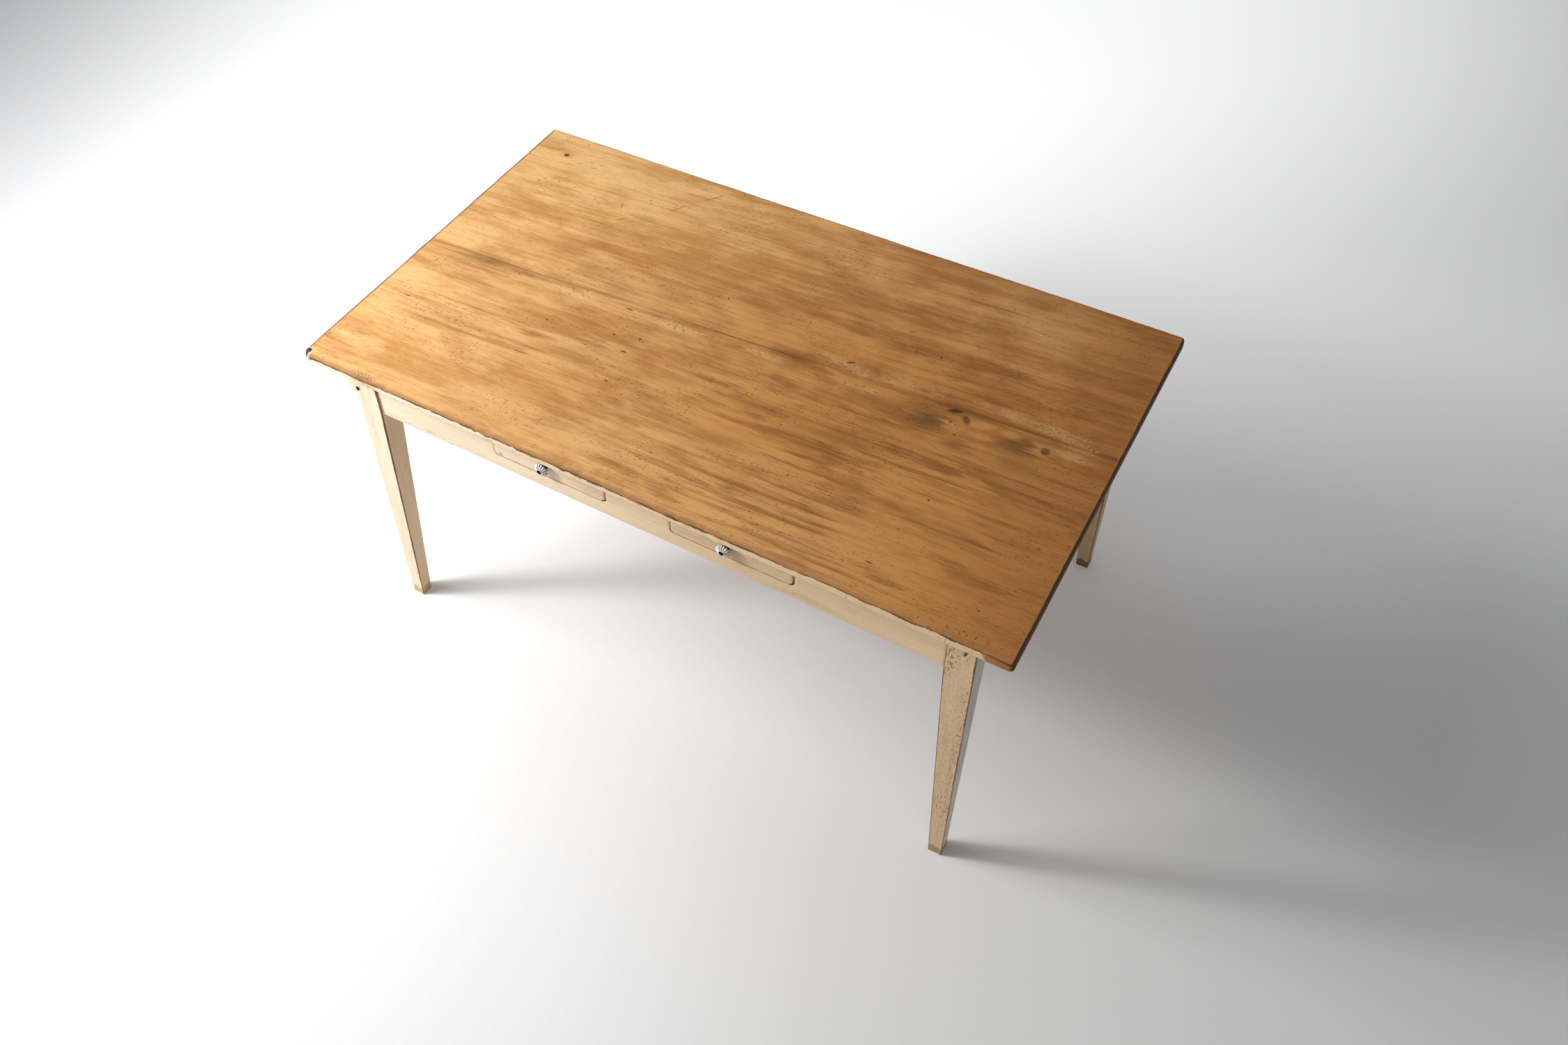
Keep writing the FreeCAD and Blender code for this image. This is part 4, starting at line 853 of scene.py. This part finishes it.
def drawer_box(side):
    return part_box(side + "_drawer_front")


def front_apron():
    """The front rail, cut out for the drawers from its upper edge."""
    low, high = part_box("front_apron")
    left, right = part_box("front_left_leg")[1].x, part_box("front_right_leg")[0].x
    outline = [(left, low.z, 0.0), (right, low.z, 0.0), (right, high.z, 0.0)]
    for side in ("right", "left"):
        near, far = drawer_box(side)
        floor = near.z - DRAWER_GAP
        first, last = far.x + DRAWER_GAP, near.x - DRAWER_GAP
        outline += [(first, high.z, 0.0), (first, floor, DRAWER_CORNER),
                    (last, floor, DRAWER_CORNER), (last, high.z, 0.0)]
    outline.append((left, high.z, 0.0))
    slab("front_rail", outline, lambda u, v, deep: (u, low.y + deep, v), high.y - low.y, apron_paint, "table",
         ["front_apron"], 5)


def plain_apron(name, node, from_, to, face, thickness, across, material, seed):
    """A rail with no cut-outs; across says that it runs along y."""
    low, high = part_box(node)
    outline = [(from_, low.z, 0.0), (to, low.z, 0.0), (to, high.z, 0.0), (from_, high.z, 0.0)]
    if across:
        to_frame = lambda u, v, deep: (face + deep * thickness / abs(thickness), u, v)
    else:
        to_frame = lambda u, v, deep: (u, face + deep * thickness / abs(thickness), v)
    slab(name, outline, to_frame, abs(thickness), material, "table", [node], seed)


front_apron()
left_leg, right_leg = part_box("back_left_leg"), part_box("back_right_leg")
back_low, back_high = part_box("back_apron")
plain_apron("back_rail", "back_apron", left_leg[1].x, right_leg[0].x, back_high.y, back_low.y - back_high.y,
            False, apron_paint, 8)
front_y, back_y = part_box("front_left_leg")[1].y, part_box("back_left_leg")[0].y
for name, seed in (("left", 11), ("right", 14)):
    low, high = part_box(name + "_apron")
    face, far = (low.x, high.x) if name == "left" else (high.x, low.x)
    plain_apron(name + "_rail", name + "_apron", front_y, back_y, face, far - face, True, side_paint, seed)
batten_low, batten_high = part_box("left_batten")
slab("left_cleat", [(batten_low.y, batten_low.z, 0.0), (batten_high.y, batten_low.z, 0.0),
                    (batten_high.y, batten_high.z, 0.0), (batten_low.y, batten_high.z, 0.0)],
     lambda u, v, deep: (batten_low.x + deep, u, v), batten_high.x - batten_low.x,
     side_paint, "table", ["left_batten"], 17)

for side, paint, seed, shift in (("left", left_drawer_paint, 23, -DRAWER_SWELL),
                                 ("right", right_drawer_paint, 27, DRAWER_LACK)):
    low, high = drawer_box(side)
    left, right, foot = low.x + shift, high.x - DRAWER_EASE, low.z - DRAWER_SWELL
    outline = [(left, foot, DRAWER_CORNER), (right, foot, DRAWER_CORNER),
               (right, high.z, 0.0), (left, high.z, 0.0)]
    slab(side + "_drawer_face", outline, lambda u, v, deep: (u, low.y + deep, v), high.y - low.y, paint,
         side + "_drawer", [side + "_drawer_front"], seed, foot + DRAWER_CORNER / 2.0)
    knob(side + "_drawer_pull", side + "_drawer", side + "_drawer_knob", metal)

along_y = ("side", "bottom", "runner", "guide", "batten")
for name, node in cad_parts.items():
    if name.endswith(("screws", "screw", "brads")):
        finish = steel
    elif name.endswith(along_y):
        finish = wood_y
    else:
        finish = wood_x
    node.data.materials.clear()
    node.data.materials.append(finish)
    if finish is not steel:
        soft = node.modifiers.new("soft_edges", "BEVEL")
        soft.width = SOFT_EDGE
        soft.segments = 2
        soft.limit_method = "ANGLE"

# ---------------------------------------------------------------- floor, light and camera
floor_mesh = bpy.data.meshes.new("floor")
floor_corners = [(x * FLOOR_HALF, y * FLOOR_HALF, 0.0) for x, y in ((-1, -1), (1, -1), (1, 1), (-1, 1))]
floor_mesh.from_pydata(floor_corners, [], [(0, 1, 2, 3)])
floor = bpy.data.objects.new("floor", floor_mesh)
bpy.context.scene.collection.objects.link(floor)
floor_mesh.materials.append(pale_floor())


def lamp(name, place, target, size, power):
    """A round lamp of a given width and power in watts, turned to a target."""
    light = bpy.data.lights.new(name, "AREA")
    light.shape = "DISK"
    light.size = size
    light.energy = power
    made = bpy.data.objects.new(name, light)
    made.location = place
    made.rotation_euler = (Vector(target) - Vector(place)).to_track_quat("-Z", "Y").to_euler()
    bpy.context.scene.collection.objects.link(made)


lamp("window", place=(-2.18, -1.4, 2.46), target=(0.1, 0.1, 0.5), size=1.8, power=78.0)
lamp("low_window", place=(-2.52, -1.62, 2.2), target=(0.0, 0.0, 0.4), size=0.5, power=55.0)
world = bpy.data.worlds.new("room")
world.use_nodes = True
air = world.node_tree.nodes["Background"].inputs
air["Color"].default_value = (0.97, 0.985, 1.0, 1.0)
air["Strength"].default_value = 0.31
bpy.context.scene.world = world

# the camera stands as it did for the photo
stand = (1.101, -1.875, 2.795)
turn, tilt, roll = math.radians(32.6), math.radians(45.75), math.radians(-2.53)
back = Vector((math.sin(turn) * math.cos(tilt), -math.cos(turn) * math.cos(tilt), math.sin(tilt)))
level = Vector((math.cos(turn), math.sin(turn), 0.0))
upward = back.cross(level)
axes = (level * math.cos(roll) + upward * math.sin(roll),
        upward * math.cos(roll) - level * math.sin(roll), back)
lens = bpy.data.cameras.new("camera")
lens.sensor_width = 36.0
lens.lens = 32.5
lens.shift_x = 0.051
lens.shift_y = -0.069
camera = bpy.data.objects.new("camera", lens)
camera.matrix_world = Matrix.Translation(stand) @ Matrix(axes).transposed().to_4x4()
bpy.context.scene.collection.objects.link(camera)
bpy.context.scene.camera = camera
bpy.context.scene.view_settings.view_transform = "Standard"
